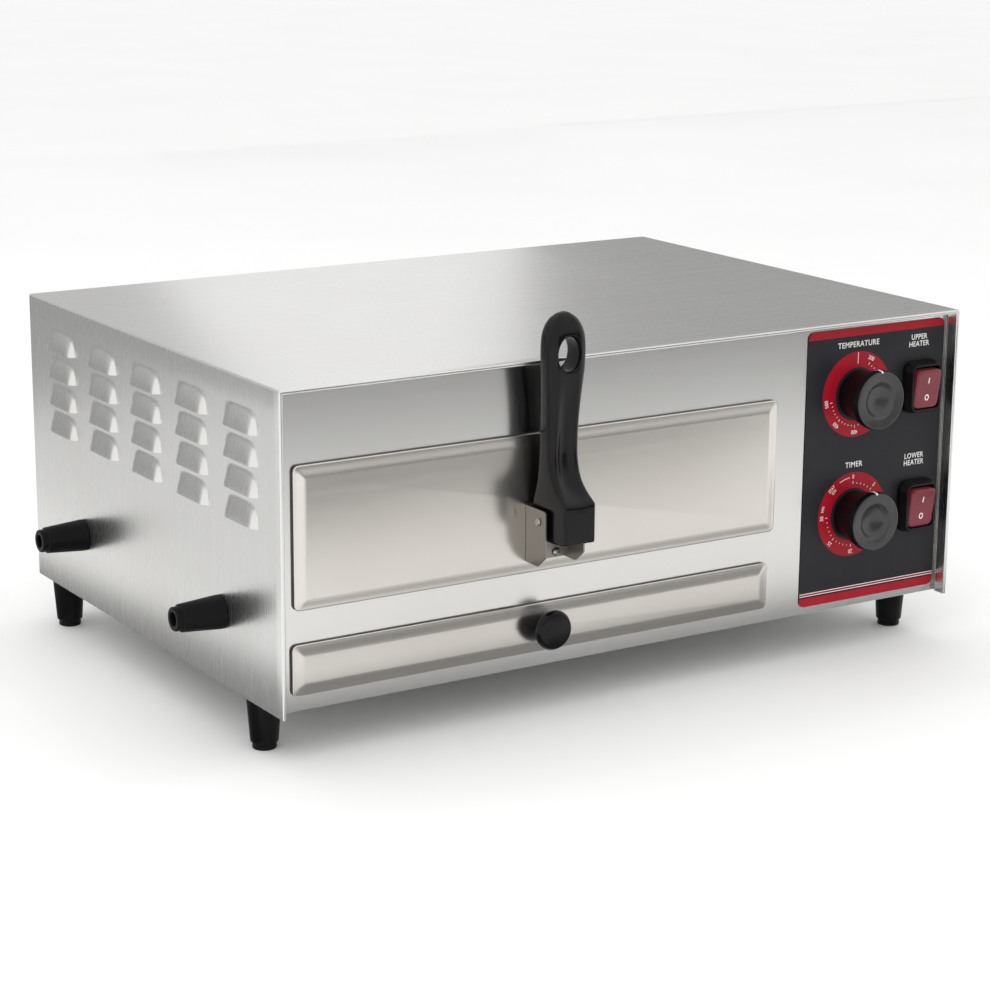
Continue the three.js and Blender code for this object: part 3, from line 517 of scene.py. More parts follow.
# ---- Casing: one bent sheet with pressed louvres and a folded hem round the front
BEND_R = 1.8
HEM_W = 3.0
HEM_D = 10.0
LOUVRE_L = 49.0
LOUVRE_H = 16.5
LOUVRE_YS = [57 + 76.1 * column for column in range(5)]
LOUVRE_ZS = [128 + 21.8 * row for row in range(4)]
FLANGE_W = 25.0
FLANGE_FRONT_Y = 26.0
LOUVRE_STEPS_ALONG = 22
LOUVRE_STEPS_UP = 10
# How far past a louvre the sheet's next line lies, so that its flat part stays flat
LOUVRE_RIM = 0.7
ARCH_DROP = 0.22
CLOSE = 1e-6


def louvre_depth(y, z):
    """How far the sheet is pressed out at a place on a side: a hood, arched above its straight lip."""
    for middle in LOUVRE_YS:
        along = abs(y - middle) / (LOUVRE_L / 2)
        if along >= 1:
            continue
        for lip in LOUVRE_ZS:
            up = (z - lip) / LOUVRE_H
            if -CLOSE <= up < 1:
                arch = 1 - ARCH_DROP * along ** 3
                return LOUVRE_OUT * max(0.0, 1 - along ** 10 - (max(up, 0.0) / arch) ** 1.2)
    return 0.0


def louvre_lines_y():
    """The sheet's lines along a side, closer together towards a louvre's ends."""
    lines = []
    for middle in LOUVRE_YS:
        for step in range(LOUVRE_STEPS_ALONG + 1):
            lines.append(middle - LOUVRE_L / 2 * math.cos(math.pi * step / LOUVRE_STEPS_ALONG))
        lines += [middle - LOUVRE_L / 2 - LOUVRE_RIM, middle + LOUVRE_L / 2 + LOUVRE_RIM]
    return sorted(lines)


def louvre_lines_z():
    """The sheet's lines up a side."""
    lines = []
    for lip in LOUVRE_ZS:
        for step in range(LOUVRE_STEPS_UP + 1):
            lines.append(lip + LOUVRE_H * step / LOUVRE_STEPS_UP)
        lines += [lip - LOUVRE_RIM, lip + LOUVRE_H + LOUVRE_RIM]
    return sorted(lines)


def wrap_stops():
    """The sheet's path from the left side's bottom over the top to the right side's bottom."""
    side = [0.0, 60.0, *louvre_lines_z(), CASE_H - BEND_R]
    bends = [TURN / 4 * step / 5 for step in range(1, 5)]
    left = [("left", z) for z in side] + [("left bend", angle) for angle in bends]
    right = [("right bend", angle) for angle in reversed(bends)] + [("right", z) for z in reversed(side)]
    top = [("top", x) for x in (BEND_R, 150.0, 300.0, 450.0, CASE_W - BEND_R)]
    return left + top + right


def is_lip(z):
    """Whether a height is that of a row's slits."""
    return any(abs(z - lip) < CLOSE for lip in LOUVRE_ZS)


def wrap_place(stop, y, inward, above):
    """A point of the sheet. above says which lip of a louvre's slit it belongs to."""
    kind, value = stop
    reach = max(BEND_R, inward)
    radius = reach - inward
    if kind == "top":
        return at(min(max(value, reach), CASE_W - reach), y, CASE_H - inward)
    if kind in ("left", "right"):
        z = min(value, CASE_H - reach)
        depth = 0.0 if is_lip(z) and not above else louvre_depth(y, z)
        x = inward - depth
    else:
        x = reach - radius * math.cos(value)
        z = CASE_H - reach + radius * math.sin(value)
    return at(x if kind.startswith("left") else CASE_W - x, y, z)


def make_wrap():
    """The sheet's outside, hem, inside and cut edges, and the two flanges at the back."""
    ys = [CASE_D, *sorted(louvre_lines_y(), reverse=True), HEM_D]
    hem_arc = [(1 - math.sin(angle), 1 - math.cos(angle)) for angle in (0, 0.4, 0.8, 1.2, TURN / 4)]
    hem = hem_arc + [(y, HEM_W - inward) for y, inward in reversed(hem_arc)]
    rows = [(y, 0.0) for y in ys] + hem + [(HEM_D, HEM_W)] + [(y, SHEET) for y in reversed(ys)]
    stops = wrap_stops()
    build = bmesh.new()
    points = {}

    def vertex(i, j, above):
        place = wrap_place(stops[j], *rows[i], above)
        key = tuple(round(value, 7) for value in place)
        if key not in points:
            points[key] = build.verts.new(place)
        return points[key]

    def face(*corners):
        corners = list(dict.fromkeys(corners))
        if len(corners) > 2 and not build.faces.get(corners):
            build.faces.new(corners)

    for j in range(len(stops) - 1):
        rising = stops[j][0] == "left"
        for i in range(len(rows)):
            k = (i + 1) % len(rows)
            face(vertex(i, j, rising), vertex(k, j, rising),
                 vertex(k, j + 1, not rising), vertex(i, j + 1, not rising))
    lips = [j for j, (kind, z) in enumerate(stops) if kind in ("left", "right") and is_lip(z)]
    for j in lips:
        for i in range(len(ys) - 1):
            if louvre_depth((ys[i] + ys[i + 1]) / 2, stops[j][1]) > 0:
                inner = len(rows) - 1 - i
                for above in (True, False):
                    face(vertex(i, j, above), vertex(i + 1, j, above),
                         vertex(inner - 1, j, above), vertex(inner, j, above))
    for j in (0, len(stops) - 1):
        for i in range(len(ys) - 1):
            face(vertex(i, j, True), vertex(i + 1, j, True),
                 vertex(len(rows) - 2 - i, j, True), vertex(len(rows) - 1 - i, j, True))
        first, last = len(ys) - 1, len(rows) - len(ys)
        face(*(vertex(i, j, True) for i in range(first, last + 1)))
    for x0, x1 in ((SHEET, FLANGE_W), (CASE_W - FLANGE_W, CASE_W - SHEET)):
        sheet = [[at(x, y, z) for x, z in ((x0, 0), (x1, 0), (x1, SHEET), (x0, SHEET))]
                 for y in (FLANGE_FRONT_Y, CASE_D - SHEET - GAP)]
        add_rings(build, sheet)
    built_piece("outer_wrap_sheet", build, "oven", "casing_steel", ["outer_wrap"], wrap_steel, 40)


# ---- Door and tray fronts: pressed pans with a soft slope to the rim
BEZEL_T = 4.0
BEZEL_SLOPE_W = 9.0
BEZEL_SLOPE_D = 1.6
BEZEL_CORNER_R = 4.5
BEZEL_ROUND_R = 0.9
BEZEL_SLOPE_STEPS = 8
INNER_CORNER_R = BEZEL_CORNER_R - SHEET


def make_bezel(name, node, body):
    """A front with rolled edges. Its side walls wear a dark steel, a painted shadow for the gap between the
    front and the panel.
    """
    low, high = ((corner - ORIGIN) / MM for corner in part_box(node))
    front = low.y
    rim = front + BEZEL_SLOPE_D
    area = (low.x, high.x, low.z, high.z)

    def ring(inset, radius, y):
        return [at(x, y, z) for x, z in rounded_loop(*area, radius, inset)]

    back = front + BEZEL_T
    rings = [ring(SHEET, INNER_CORNER_R, back), ring(0, BEZEL_CORNER_R, back)]
    for step in range(5):
        angle = TURN / 4 * step / 4
        inset = BEZEL_ROUND_R - BEZEL_ROUND_R * math.cos(angle)
        y = rim + BEZEL_ROUND_R - BEZEL_ROUND_R * math.sin(angle)
        rings.append(ring(inset, BEZEL_CORNER_R - inset, y))
    for step in range(1, BEZEL_SLOPE_STEPS + 1):
        share = step / BEZEL_SLOPE_STEPS
        soft = share * share * (3 - 2 * share)
        inset = BEZEL_ROUND_R + (BEZEL_SLOPE_W - BEZEL_ROUND_R) * share
        rings.append(ring(inset, 3.6 - 2.4 * share, rim - BEZEL_SLOPE_D * (0.6 * share + 0.4 * soft)))
    build = bmesh.new()
    add_rings(build, rings, cap_start=False)
    inner = [
        ring(SHEET, INNER_CORNER_R, back),
        ring(SHEET, INNER_CORNER_R, rim + SHEET),
        ring(BEZEL_SLOPE_W, 1.5, front + SHEET),
    ]
    add_rings(build, inner, cap_start=False)
    face = built_piece(name, build, body, "drawer_steel", [node], sharp=50)
    face.data.materials.append(painted_gap_shadow)
    # The side walls take the painted gap shadow
    for polygon in face.data.polygons:
        if abs(polygon.normal.y) < 0.25:
            polygon.material_index = 1


# ---- Rubber feet and side bumpers
FOOT_R = 12.3
FOOT_TIP_R = 8.8
FOOT_PROFILE = soften(
    [
        (2.7, 0), (FOOT_R, 0), (FOOT_R, 2), (FOOT_TIP_R + 1.3, 31.5), (FOOT_TIP_R - 0.2, 32.4),
        (FOOT_TIP_R + 0.1, 37), (5, 37), (5, 6), (2.7, 6),
    ],
    {1: 0.5, 2: 3.0, 3: 0.5, 4: 0.3, 5: 1.2, 6: 0.8},
)
FOOT_PROFILE.append(FOOT_PROFILE[0])


def make_feet():
    """Feet that hang from the base, and bumpers of the same shape on the sides."""
    for node in frame["nodes"]:
        if not node.endswith(("_foot", "_bumper")):
            continue
        low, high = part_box(node)
        middle = (low + high) / 2
        if node.endswith("_foot"):
            base, axis = Vector((middle.x, middle.y, high.z)), (0, 0, -1)
        elif node.startswith("left"):
            base, axis = Vector((high.x, middle.y, middle.z)), (-1, 0, 0)
        else:
            base, axis = Vector((low.x, middle.y, middle.z)), (1, 0, 0)
        mesh = turned(node + "_rubber", FOOT_PROFILE, base, axis, sides=64)
        new_piece(node + "_rubber", mesh, "oven", "foot_rubber", [node])


# ---- Folding handle
HANDLE_X = 218.0
HANDLE_HOLE_Z = 236.0
HOLE_HALF_X, HOLE_HALF_Z = 9.0, 12.5
PIN_Y, PIN_Z = -7.7, 115
PIN_HOLE_R = 2.1
STATION_STEP = 2.0
# Places along the hanging hole, from front to back, and how much wider it is there
HOLE_STOPS = [
    (-26, 5.0), (-20.6, 1.2), (-19.4, 0.25), (-17.6, 0), (-4.6, 0), (-2.8, 0.25), (-1.6, 1.2), (3, 5.0),
]
# Stations up the handle: height, front, back, half width, corner radius, depth of the front flute
HANDLE_STATIONS = [
    (100.8, -9, -6.8, 12.4, 0.8, 0),
    (101.3, -16, -4.2, 12.8, 1.1, 0),
    (101.9, -25.4, -2.4, 13, 1.3, 0),
    (102.5, -34.4, -0.9, 13, 1.4, 0),
    (103.2, -35.7, 0.4, 13, 1.6, 0),
    (104.4, -36, 1.9, 13, 1.6, 0),
    (107, -36, 4, 13, 1.6, 0),
    (115, -36, 6.6, 13, 1.6, 0),
    (124, -36, 6.2, 13, 1.6, 0),
    (130.4, -36, 4.8, 13, 1.6, 0.3),
    (131.6, -35.3, 4.6, 12.9, 1.8, 0.6),
    (137, -28, 3.6, 12.8, 3, 2.2),
    (144.3, -21.6, 2.9, 12.6, 4.2, 3.2),
    (153, -18.4, 2.6, 12.5, 5.2, 3.6),
    (164, -16.8, 2.4, 12.5, 6, 3.6),
    (182, -17.6, 2.3, 12.7, 7, 3.2),
    (200, -18.8, 1.4, 13.8, 7.8, 2.4),
    (216, -20, -0.4, 15.3, 8.2, 1),
    (228, -20.9, -1, 16.2, 8.6, 0),
    (240, -21, -1, 16.5, 8.8, 0),
    (250, -20.6, -1.2, 15.4, 8.4, 0),
    (257, -19.2, -2.2, 12.6, 7.4, 0),
    (261.5, -17, -4.2, 9, 5.6, 0),
    (264.3, -14.2, -7, 5, 3.4, 0),
    (265.4, -12, -9.2, 1.5, 0.8, 0),
]


def limited(slope, rise):
    """A slope that doesn't run past a rise or turn against it."""
    return 0.0 if slope * rise <= 0 else math.copysign(min(abs(slope), 3 * abs(rise)), rise)


def eased(stations, height):
    """The stations' values at a height, by a smooth curve through them."""
    for k in range(len(stations) - 1):
        if stations[k + 1][0] >= height:
            break
    a, b = stations[k], stations[k + 1]
    before = stations[max(k - 1, 0)]
    after = stations[min(k + 2, len(stations) - 1)]
    span = b[0] - a[0]
    t = (height - a[0]) / span
    values = []
    for i in range(1, len(a)):
        rise = (b[i] - a[i]) / span
        slope_a = limited((b[i] - before[i]) / (b[0] - before[0]), rise)
        slope_b = limited((after[i] - a[i]) / (after[0] - a[0]), rise)
        value = (
            (2 * t ** 3 - 3 * t ** 2 + 1) * a[i] + (t ** 3 - 2 * t ** 2 + t) * slope_a * span
            + (3 * t ** 2 - 2 * t ** 3) * b[i] + (t ** 3 - t ** 2) * slope_b * span
        )
        values.append(value)
    return values


def handle_ring(height):
    """One section of the handle, with a shallow flute down the middle of its front."""
    front, back, half, radius, flute = eased(HANDLE_STATIONS, height)
    radius = min(radius, half - 0.1, (back - front) / 2 - 0.1)
    outline = rounded_loop(-half, half, front, back, radius, per_corner=7)
    ring = []
    for i, (x, y) in enumerate(outline):
        next_x, next_y = outline[(i + 1) % len(outline)]
        flat = abs(next_y - y) < 1e-6 and abs(next_x - x) > radius / 4
        steps = 10 if flat else 1
        ring += [(x + (next_x - x) * step / steps, y) for step in range(steps)]
    made = []
    for x, y in ring:
        near_front = max(0.0, 1 - (y - front) / 3.0)
        across = min(1, abs(x) / (half * 0.72))
        groove = flute * math.cos(math.pi / 2 * across) ** 1.3
        made.append(at(HANDLE_X + x, y + groove * near_front, height))
    return made


def make_handle():
    """The grip, with its hanging hole and the hole for its pin."""
    build = bmesh.new()
    heights = []
    for (a, *_), (b, *_) in zip(HANDLE_STATIONS, HANDLE_STATIONS[1:]):
        steps = max(1, round((b - a) / STATION_STEP))
        heights += [a + (b - a) * step / steps for step in range(steps)]
    heights.append(HANDLE_STATIONS[-1][0])
    add_rings(build, [handle_ring(height) for height in heights])
    grip = built_piece("handle_grip", build, "folding_handle", "handle_plastic", ["handle"], sharp=60)
    pin_hole = lathe_rings([(PIN_HOLE_R, -20), (PIN_HOLE_R, 20)], at(HANDLE_X, PIN_Y, PIN_Z), (1, 0, 0), 32)
    cutters = [
        cutter("hole", ellipse_rings(HANDLE_X, HANDLE_HOLE_Z, HOLE_HALF_X, HOLE_HALF_Z, HOLE_STOPS)),
        cutter("pin_hole", pin_hole),
    ]
    carve(grip, cutters, 60)


def ellipse_rings(x, z, half_x, half_z, stops):
    """Rings of an elliptical hole along Y: stops lists [y, how much wider than the hole]."""
    return [
        [at(x + across, y, z + up) for across, up in circle(56, half_x + wider, half_z + wider)]
        for y, wider in stops
    ]


def cutter(name, rings):
    """A solid to cut with, which carve removes again."""
    build = bmesh.new()
    add_rings(build, rings)
    return linked(name, smooth_mesh(name, build))


def carve(piece, cutters, sharp):
    """Cuts each cutter out of a piece for good, and removes the cutters."""
    for tool in cutters:
        cut = piece.modifiers.new("cut", "BOOLEAN")
        cut.object = tool
        cut.solver = "EXACT"
    carved = finished_mesh(piece)
    piece.modifiers.clear()
    build = bmesh.new()
    build.from_mesh(carved)
    mesh = smooth_mesh(piece.name + "_cut", build, sharp)
    for material in piece.data.materials:
        mesh.materials.append(material)
    piece.data = mesh
    for tool in cutters:
        bpy.data.objects.remove(tool)


# ---- Knobs
KNOB_X = 506.2
UPPER_Z = 170.5
LOWER_Z = 75.0
KNOB_R = 23.2
KNOB_BACK = 11.5
KNOB_DEPTH = 28.5
SHAFT_HOLE_R = 3.2
POINTER_HALF_W = 0.75
POINTER_LIFT = 0.12
KNOB_FACE = soften(
    [
        (SHAFT_HOLE_R, 0), (18.6, 0), (18.9, 5), (KNOB_R - 1.0, KNOB_DEPTH - 9), (KNOB_R, KNOB_DEPTH - 5),
        (KNOB_R - 0.6, KNOB_DEPTH), (14.4, KNOB_DEPTH - 0.9), (10.8, KNOB_DEPTH - 4.4), (5, KNOB_DEPTH - 6.4),
        (0, KNOB_DEPTH - 6.9),
    ],
    {1: 0.6, 3: 6, 4: 2.0, 5: 1.2, 6: 2.0, 7: 5},
)


def make_knob(name, node, body, z):
    """A dished knob whose face is lighter than its side, with a white pointer over its front edge."""
    base = at(KNOB_X, KNOB_BACK, z)
    profile = [(0, 14), (SHAFT_HOLE_R, 14)] + KNOB_FACE
    mesh = turned(name, profile, base, (0, -1, 0), sides=96, sharp=40)
    knob = new_piece(name, mesh, body, "knob_plastic", [node])
    knob.data.materials.append(knob_face)
    for polygon in mesh.polygons:
        if polygon.normal.y < -0.6 and polygon.center.y < base.y - 0.7 * KNOB_DEPTH * MM:
            polygon.material_index = 1
    strip = [point for point in KNOB_FACE if point[1] > KNOB_DEPTH - 12 and point[0] > 16.2]
    left, right = KNOB_X - POINTER_HALF_W, KNOB_X + POINTER_HALF_W
    build = bmesh.new()
    rings = []
    for radius, along in strip:
        front, top = KNOB_BACK - along - POINTER_LIFT, z + radius + POINTER_LIFT
        sunk, low = KNOB_BACK - along + 0.3, z + radius - 0.5
        rings.append([at(left, front, top), at(right, front, top), at(right, sunk, low), at(left, sunk, low)])
    add_rings(build, rings)
    built_piece(name + "_pointer", build, body, "knob_plastic", material=white_paint)


TRAY_KNOB_PROFILE = soften(
    [
        (0, 0), (8.0, 0), (6.4, 2.6), (6.4, 6.6), (13.4, 8.8),
        (14.8, 11.0), (14.8, 12.8), (13.2, 15.4), (0, 16.6),
    ],
    {1: 0.5, 2: 1.5, 3: 2.0, 4: 1.5, 5: 0.8, 6: 0.8, 7: 2.0},
)


def make_tray_knob():
    """The tray's round pull, narrow at its neck."""
    base = centre("crumb_tray_knob")
    base.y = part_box("crumb_tray_knob")[1].y
    mesh = turned("tray_pull", TRAY_KNOB_PROFILE, base, (0, -1, 0), sides=72)
    new_piece("tray_pull", mesh, "crumb_tray", "handle_plastic", ["crumb_tray_knob"])


# ---- Rocker switches
SWITCH_X = 568.5
ROCKER_W = 24.5
ROCKER_H = 31.0
ROCKER_PIVOT_Y = 6.3
ROCKER_TILT = math.radians(8)
ROCKER_CORNER_R = 4.6
ROCKER_RIM = 2.2
FACE_RINGS = 12
MARK_PITCH = 13.8
MARK_LIFT = 0.14
MARK_SINK = 0.1


def on_rocker(x, y, z, switch_z):
    """A place on the tilted rocker: x, y and z from its pivot, in millimetres."""
    cos, sin = math.cos(ROCKER_TILT), math.sin(ROCKER_TILT)
    return at(SWITCH_X + x, ROCKER_PIVOT_Y + y * cos - z * sin, switch_z + y * sin + z * cos)


def rocker_face(z):
    """The front of the rocker, hollow between its ends."""
    return -5.1 - 1.2 * (z / (ROCKER_H / 2)) ** 2


def make_rocker(place, switch_z):
    """A rocker with a rounded rim round its hollow face, and a raised I and O."""
    half_w, half_h = ROCKER_W / 2, ROCKER_H / 2

    def outline(inset):
        return rounded_loop(-half_w, half_w, -half_h, half_h, ROCKER_CORNER_R - inset * 0.6, inset, 8)

    rings = []
    for y, inset in ((0.4, 0.2), (-2.0, 0.0)):
        rings.append([on_rocker(x, y, z, switch_z) for x, z in outline(inset)])
    for inset in (0.0, 0.35, 1.1, ROCKER_RIM):
        lower = max(0.0, 1.1 - inset) * 0.9
        rings.append([on_rocker(x, rocker_face(z) + lower, z, switch_z) for x, z in outline(inset)])
    for share in [1 - k / FACE_RINGS for k in range(1, FACE_RINGS)] + [0.02]:
        ring = [(x * share, z * share) for x, z in outline(ROCKER_RIM)]
        rings.append([on_rocker(x, rocker_face(z), z, switch_z) for x, z in ring])
    build = bmesh.new()
    add_rings(build, rings)
    name = f"{place}_rocker"
    built_piece(name, build, name, "rocker_plastic", [f"{place}_switch_rocker"], sharp=50)
    marks = bmesh.new()
    add_mark(marks, MARK_PITCH / 2, False, switch_z)
    add_mark(marks, -MARK_PITCH / 2, True, switch_z)
    built_piece(name + "_marks", marks, name, "rocker_plastic", material=white_paint)


def add_mark(build, z0, is_ring, switch_z):
    """A raised I or O on the rocker's face."""

    def layer(outline, depth):
        return [on_rocker(x, rocker_face(z0 + z) + depth, z0 + z, switch_z) for x, z in outline]

    if is_ring:
        outer, inner = circle(28, 2.1, 2.5), circle(28, 1.25, 1.6)
        rings = [(outer, MARK_SINK), (outer, -MARK_LIFT), (inner, -MARK_LIFT), (inner, MARK_SINK)]
        add_rings(build, [layer(*ring) for ring in rings], closed=True)
    else:
        stroke = ((-0.45, -2.4), (0.45, -2.4), (0.45, 2.4), (-0.45, 2.4))
        add_rings(build, [layer(stroke, MARK_SINK), layer(stroke, -MARK_LIFT)])


# ---- Printing on the control overlay: bands, dial rings, ticks, numbers and words
OVERLAY_X0, OVERLAY_X1 = 457.0, 592.4
OVERLAY_Z0, OVERLAY_Z1 = 5.9, 222.7
OVERLAY_FRONT_Y = 12.2
INK_T = 0.06
RING_OUTER_R = 33.5
RING_INNER_R = 21.0
TICK_INNER_R = 24.2
SHORT_TICK_R = 25.4
LONG_TICK_R = 26.4
TICK_W = 0.55
NUMBER_R = 29.8
NUMBER_H = 3.3
# The temperature dial runs clockwise from its first number in equal steps, and the timer from its top
FIRST_TEMPERATURE, TEMPERATURE_STEP, TEMPERATURES = 200, 50, 7
FIRST_ANGLE, TEMPERATURE_ANGLE, PARTS = 26, 39, 5
MINUTES, MINUTE_ANGLE = 30, 9
STAY_ON_ANGLE = 317


def add_print(build, outline, layer=1):
    """A thin printed shape on the overlay; a higher layer lies over a lower one."""
    back = OVERLAY_FRONT_Y - (layer - 1) * INK_T
    rings = [[at(x, y, z) for x, z in outline] for y in (back, back - INK_T)]
    add_rings(build, rings)


def band(z0, z1, end=None):
    """A strip across the overlay, from edge to edge; end says which of its sides is the sheet's."""
    low = z0 - 20 if end == "top" else z0
    high = z1 + 20 if end == "bottom" else z1
    radius = 5.0 if end else 0.2
    outline = []
    for x, z in rounded_loop(OVERLAY_X0 + 0.1, OVERLAY_X1 - 0.1, low, high, radius, 0, 8):
        point = (x, min(max(z, z0), z1))
        if point not in outline:
            outline.append(point)
    return outline


def polar(z, radius, angle):
    """A place on a dial: the angle runs clockwise from the top, in degrees."""
    turn = math.radians(angle)
    return KNOB_X + radius * math.sin(turn), z + radius * math.cos(turn)


def add_tick(build, z, angle, r0, r1, width):
    """A line on a dial, from one radius to another."""
    turn = math.radians(angle)
    along = Vector((math.sin(turn), math.cos(turn)))
    across = Vector((along.y, -along.x)) * width / 2
    corners = [along * r0 - across, along * r0 + across, along * r1 + across, along * r1 - across]
    add_print(build, [(KNOB_X + corner.x, z + corner.y) for corner in corners], 2)


def add_words(build, text, x, z, height, angle=0.0, squeeze=1.0):
    """Letters centred on a place of the overlay, turned clockwise by an angle in degrees."""
    data = bpy.data.curves.new("letters", "FONT")
    data.body = text
    data.size = height * 1.38
    data.align_x, data.align_y = "CENTER", "CENTER"
    data.extrude = INK_T / 2
    data.resolution_u = 3
    data.space_character = 1.08
    data.offset = height * 0.018
    letters = linked("letters", data)
    mesh = finished_mesh(letters)
    turn = Matrix.Rotation(-math.radians(angle), 3, "Z")
    for vertex in mesh.vertices:
        flat = turn @ Vector((vertex.co.x * squeeze, vertex.co.y, 0))
        depth = OVERLAY_FRONT_Y - 1.5 * INK_T - vertex.co.z
        vertex.co = at(x + flat.x, depth, z + flat.y)
    build.from_mesh(mesh)
    bpy.data.objects.remove(letters)
    bpy.data.meshes.remove(mesh)


def add_ring(build, z):
    """The printed ring of a dial."""
    rings = []
    for radius, y in (
        (RING_INNER_R, OVERLAY_FRONT_Y), (RING_OUTER_R, OVERLAY_FRONT_Y),
        (RING_OUTER_R, OVERLAY_FRONT_Y - INK_T), (RING_INNER_R, OVERLAY_FRONT_Y - INK_T),
    ):
        places = [polar(z, radius, 360 * i / 96) for i in range(96)]
        rings.append([at(x, y, height) for x, height in places])
    add_rings(build, rings, closed=True)


def make_red_print():
    """The two bands, the thick line over the lower one, and the dials' rings."""
    red = bmesh.new()
    add_print(red, band(216.4, OVERLAY_Z1 - 0.1, "top"))
    add_print(red, band(OVERLAY_Z0 + 0.1, 12.8, "bottom"))
    add_print(red, band(14.9, 16.0))
    for z in (UPPER_Z, LOWER_Z):
        add_ring(red, z)
    built_piece("red_printing", red, "oven", "overlay_film", material=red_ink, sharp=20)


def add_temperature_dial(build):
    """The mark at the top, the numbers, and ticks that part each step in five."""
    add_tick(build, UPPER_Z, 0, 24.0, 32.6, 0.6)
    for step in range(TEMPERATURES):
        angle = FIRST_ANGLE + TEMPERATURE_ANGLE * step
        number = str(FIRST_TEMPERATURE + TEMPERATURE_STEP * step)
        add_words(build, number, *polar(UPPER_Z, NUMBER_R, angle), NUMBER_H, angle, 0.85)
        for part in range(PARTS if step < TEMPERATURES - 1 else 1):
            end = SHORT_TICK_R if part else LONG_TICK_R
            add_tick(build, UPPER_Z, angle + TEMPERATURE_ANGLE * part / PARTS, TICK_INNER_R, end, TICK_W)


def add_timer_dial(build):
    """A tick for each minute and a number for every fifth, the unit, and the stay-on mark."""
    for minute in range(MINUTES + 1):
        end = SHORT_TICK_R if minute % 5 else LONG_TICK_R
        add_tick(build, LOWER_Z, MINUTE_ANGLE * minute, TICK_INNER_R, end, TICK_W)
    for minute in range(0, MINUTES + 1, 5):
        angle = MINUTE_ANGLE * minute
        add_words(build, str(minute), *polar(LOWER_Z, NUMBER_R, angle), NUMBER_H, angle, 0.85)
    add_words(build, "MIN", *polar(LOWER_Z, NUMBER_R, 284), 2.4, 284, 0.8)
    add_words(build, "STAY", *polar(LOWER_Z, 30.6, STAY_ON_ANGLE), 2.6, STAY_ON_ANGLE, 0.8)
    add_words(build, "ON", *polar(LOWER_Z, 27.2, STAY_ON_ANGLE), 2.6, STAY_ON_ANGLE, 0.8)
    for angle in (336, 341, 346, 351):
        add_tick(build, LOWER_Z, angle, 29.4, 30.0, 2.4)


def make_white_print():
    """The thin lines, both dials' marks, and the words."""
    white = bmesh.new()
    add_print(white, band(14.2, 14.75))
    add_print(white, band(16.15, 16.7))
    add_temperature_dial(white)
    add_timer_dial(white)
    add_words(white, "TEMPERATURE", KNOB_X, 209.6, 4.5, 0, 0.94)
    add_words(white, "TIMER", KNOB_X, 114.6, 4.5, 0, 0.94)
    for word, z in (("UPPER", 209.4), ("HEATER", 203.9), ("LOWER", 114.4), ("HEATER", 108.9)):
        add_words(white, word, SWITCH_X - 1.5, z, 4.3, 0, 0.9)
    built_piece("white_printing", white, "oven", "overlay_film", material=white_paint, sharp=20)


# ---- Wire rack and heating elements
RACK_X = (27.0, 416.0)
RACK_Y = (28.8, 390.5)
RACK_Z = 96.0
RACK_BARS = 12
RIM_WIRE_R, CROSS_WIRE_R, BAR_WIRE_R = 2.4, 2.2, 1.6
ELEMENT_PITCH = 70
ELEMENT_YS = [103.0 + ELEMENT_PITCH * turn for turn in range(4)]
ELEMENT_X0, ELEMENT_X1, ELEMENT_END_X = 60.0, 385.0, 456.0
ELEMENT_R = 3.3
UPPER_ELEMENT_Z, LOWER_ELEMENT_Z = 161.0, 62.0


def flat_loop_rings(points, radius, z):
    """Rings round a closed loop that lies flat, given as [x, y] in casing coordinates."""
    rings = []
    for i, (x, y) in enumerate(points):
        ahead = Vector(points[(i + 1) % len(points)]) - Vector(points[i - 1])
        out = Vector((ahead.y, -ahead.x)).normalized()
        rings.append([
            at(x + out.x * across, y + out.y * across, z + up) for across, up in circle(16, radius)
        ])
    return rings


def make_rack():
    """A rim of thick wire, one cross wire and a row of thinner bars."""
    build = bmesh.new()
    loop = rounded_loop(*RACK_X, *RACK_Y, 14, 0, 10)
    add_rings(build, flat_loop_rings(loop, RIM_WIRE_R, RACK_Z), closed=True)
    middle_y = sum(RACK_Y) / 2
    cross = [at(x, middle_y, RACK_Z) for x in (RACK_X[0] - 1, RACK_X[1] + 1)]
    add_rings(build, tube_rings(cross, CROSS_WIRE_R * MM))
    for i in range(1, RACK_BARS + 1):
        x = RACK_X[0] + (RACK_X[1] - RACK_X[0]) * i / (RACK_BARS + 1)
        bar = [at(x, y, RACK_Z + 0.6) for y in (RACK_Y[0] - 0.8, RACK_Y[1] + 0.8)]
        add_rings(build, tube_rings(bar, BAR_WIRE_R * MM))
    built_piece("rack_wires", build, "door_carriage", "rack_chrome", ["wire_rack"], sharp=50)


def make_element(node, z):
    """A sheathed rod in straight passes and half-circle bends."""
    bend = ELEMENT_PITCH / 2
    points = [at(ELEMENT_END_X, ELEMENT_YS[0], z)]
    for turn in range(3):
        leftward = turn % 2 == 0
        turn_x = ELEMENT_X0 + bend if leftward else ELEMENT_X1 - bend
        for step in range(25):
            angle = TURN / 2 * step / 24
            reach = math.sin(angle) * bend * (-1 if leftward else 1)
            points.append(at(turn_x + reach, ELEMENT_YS[turn] + bend - math.cos(angle) * bend, z))
    points.append(at(ELEMENT_END_X, ELEMENT_YS[-1], z))
    build = bmesh.new()
    add_rings(build, tube_rings(points, ELEMENT_R * MM, 20))
    built_piece(node + "_rod", build, "oven", "element_sheath", [node], sharp=50)


# ---- Screws and the handle's pivot pin
SHANK_SHARE = 0.52
PIN_REACH = 17.1
PIN_HEAD_R = 3.0
PIN_SHANK_R = 1.8
LONG_SCREW = ((4.2, 2.7), 14)
SHORT_SCREW = ((3.1, 1.8), 3.2)


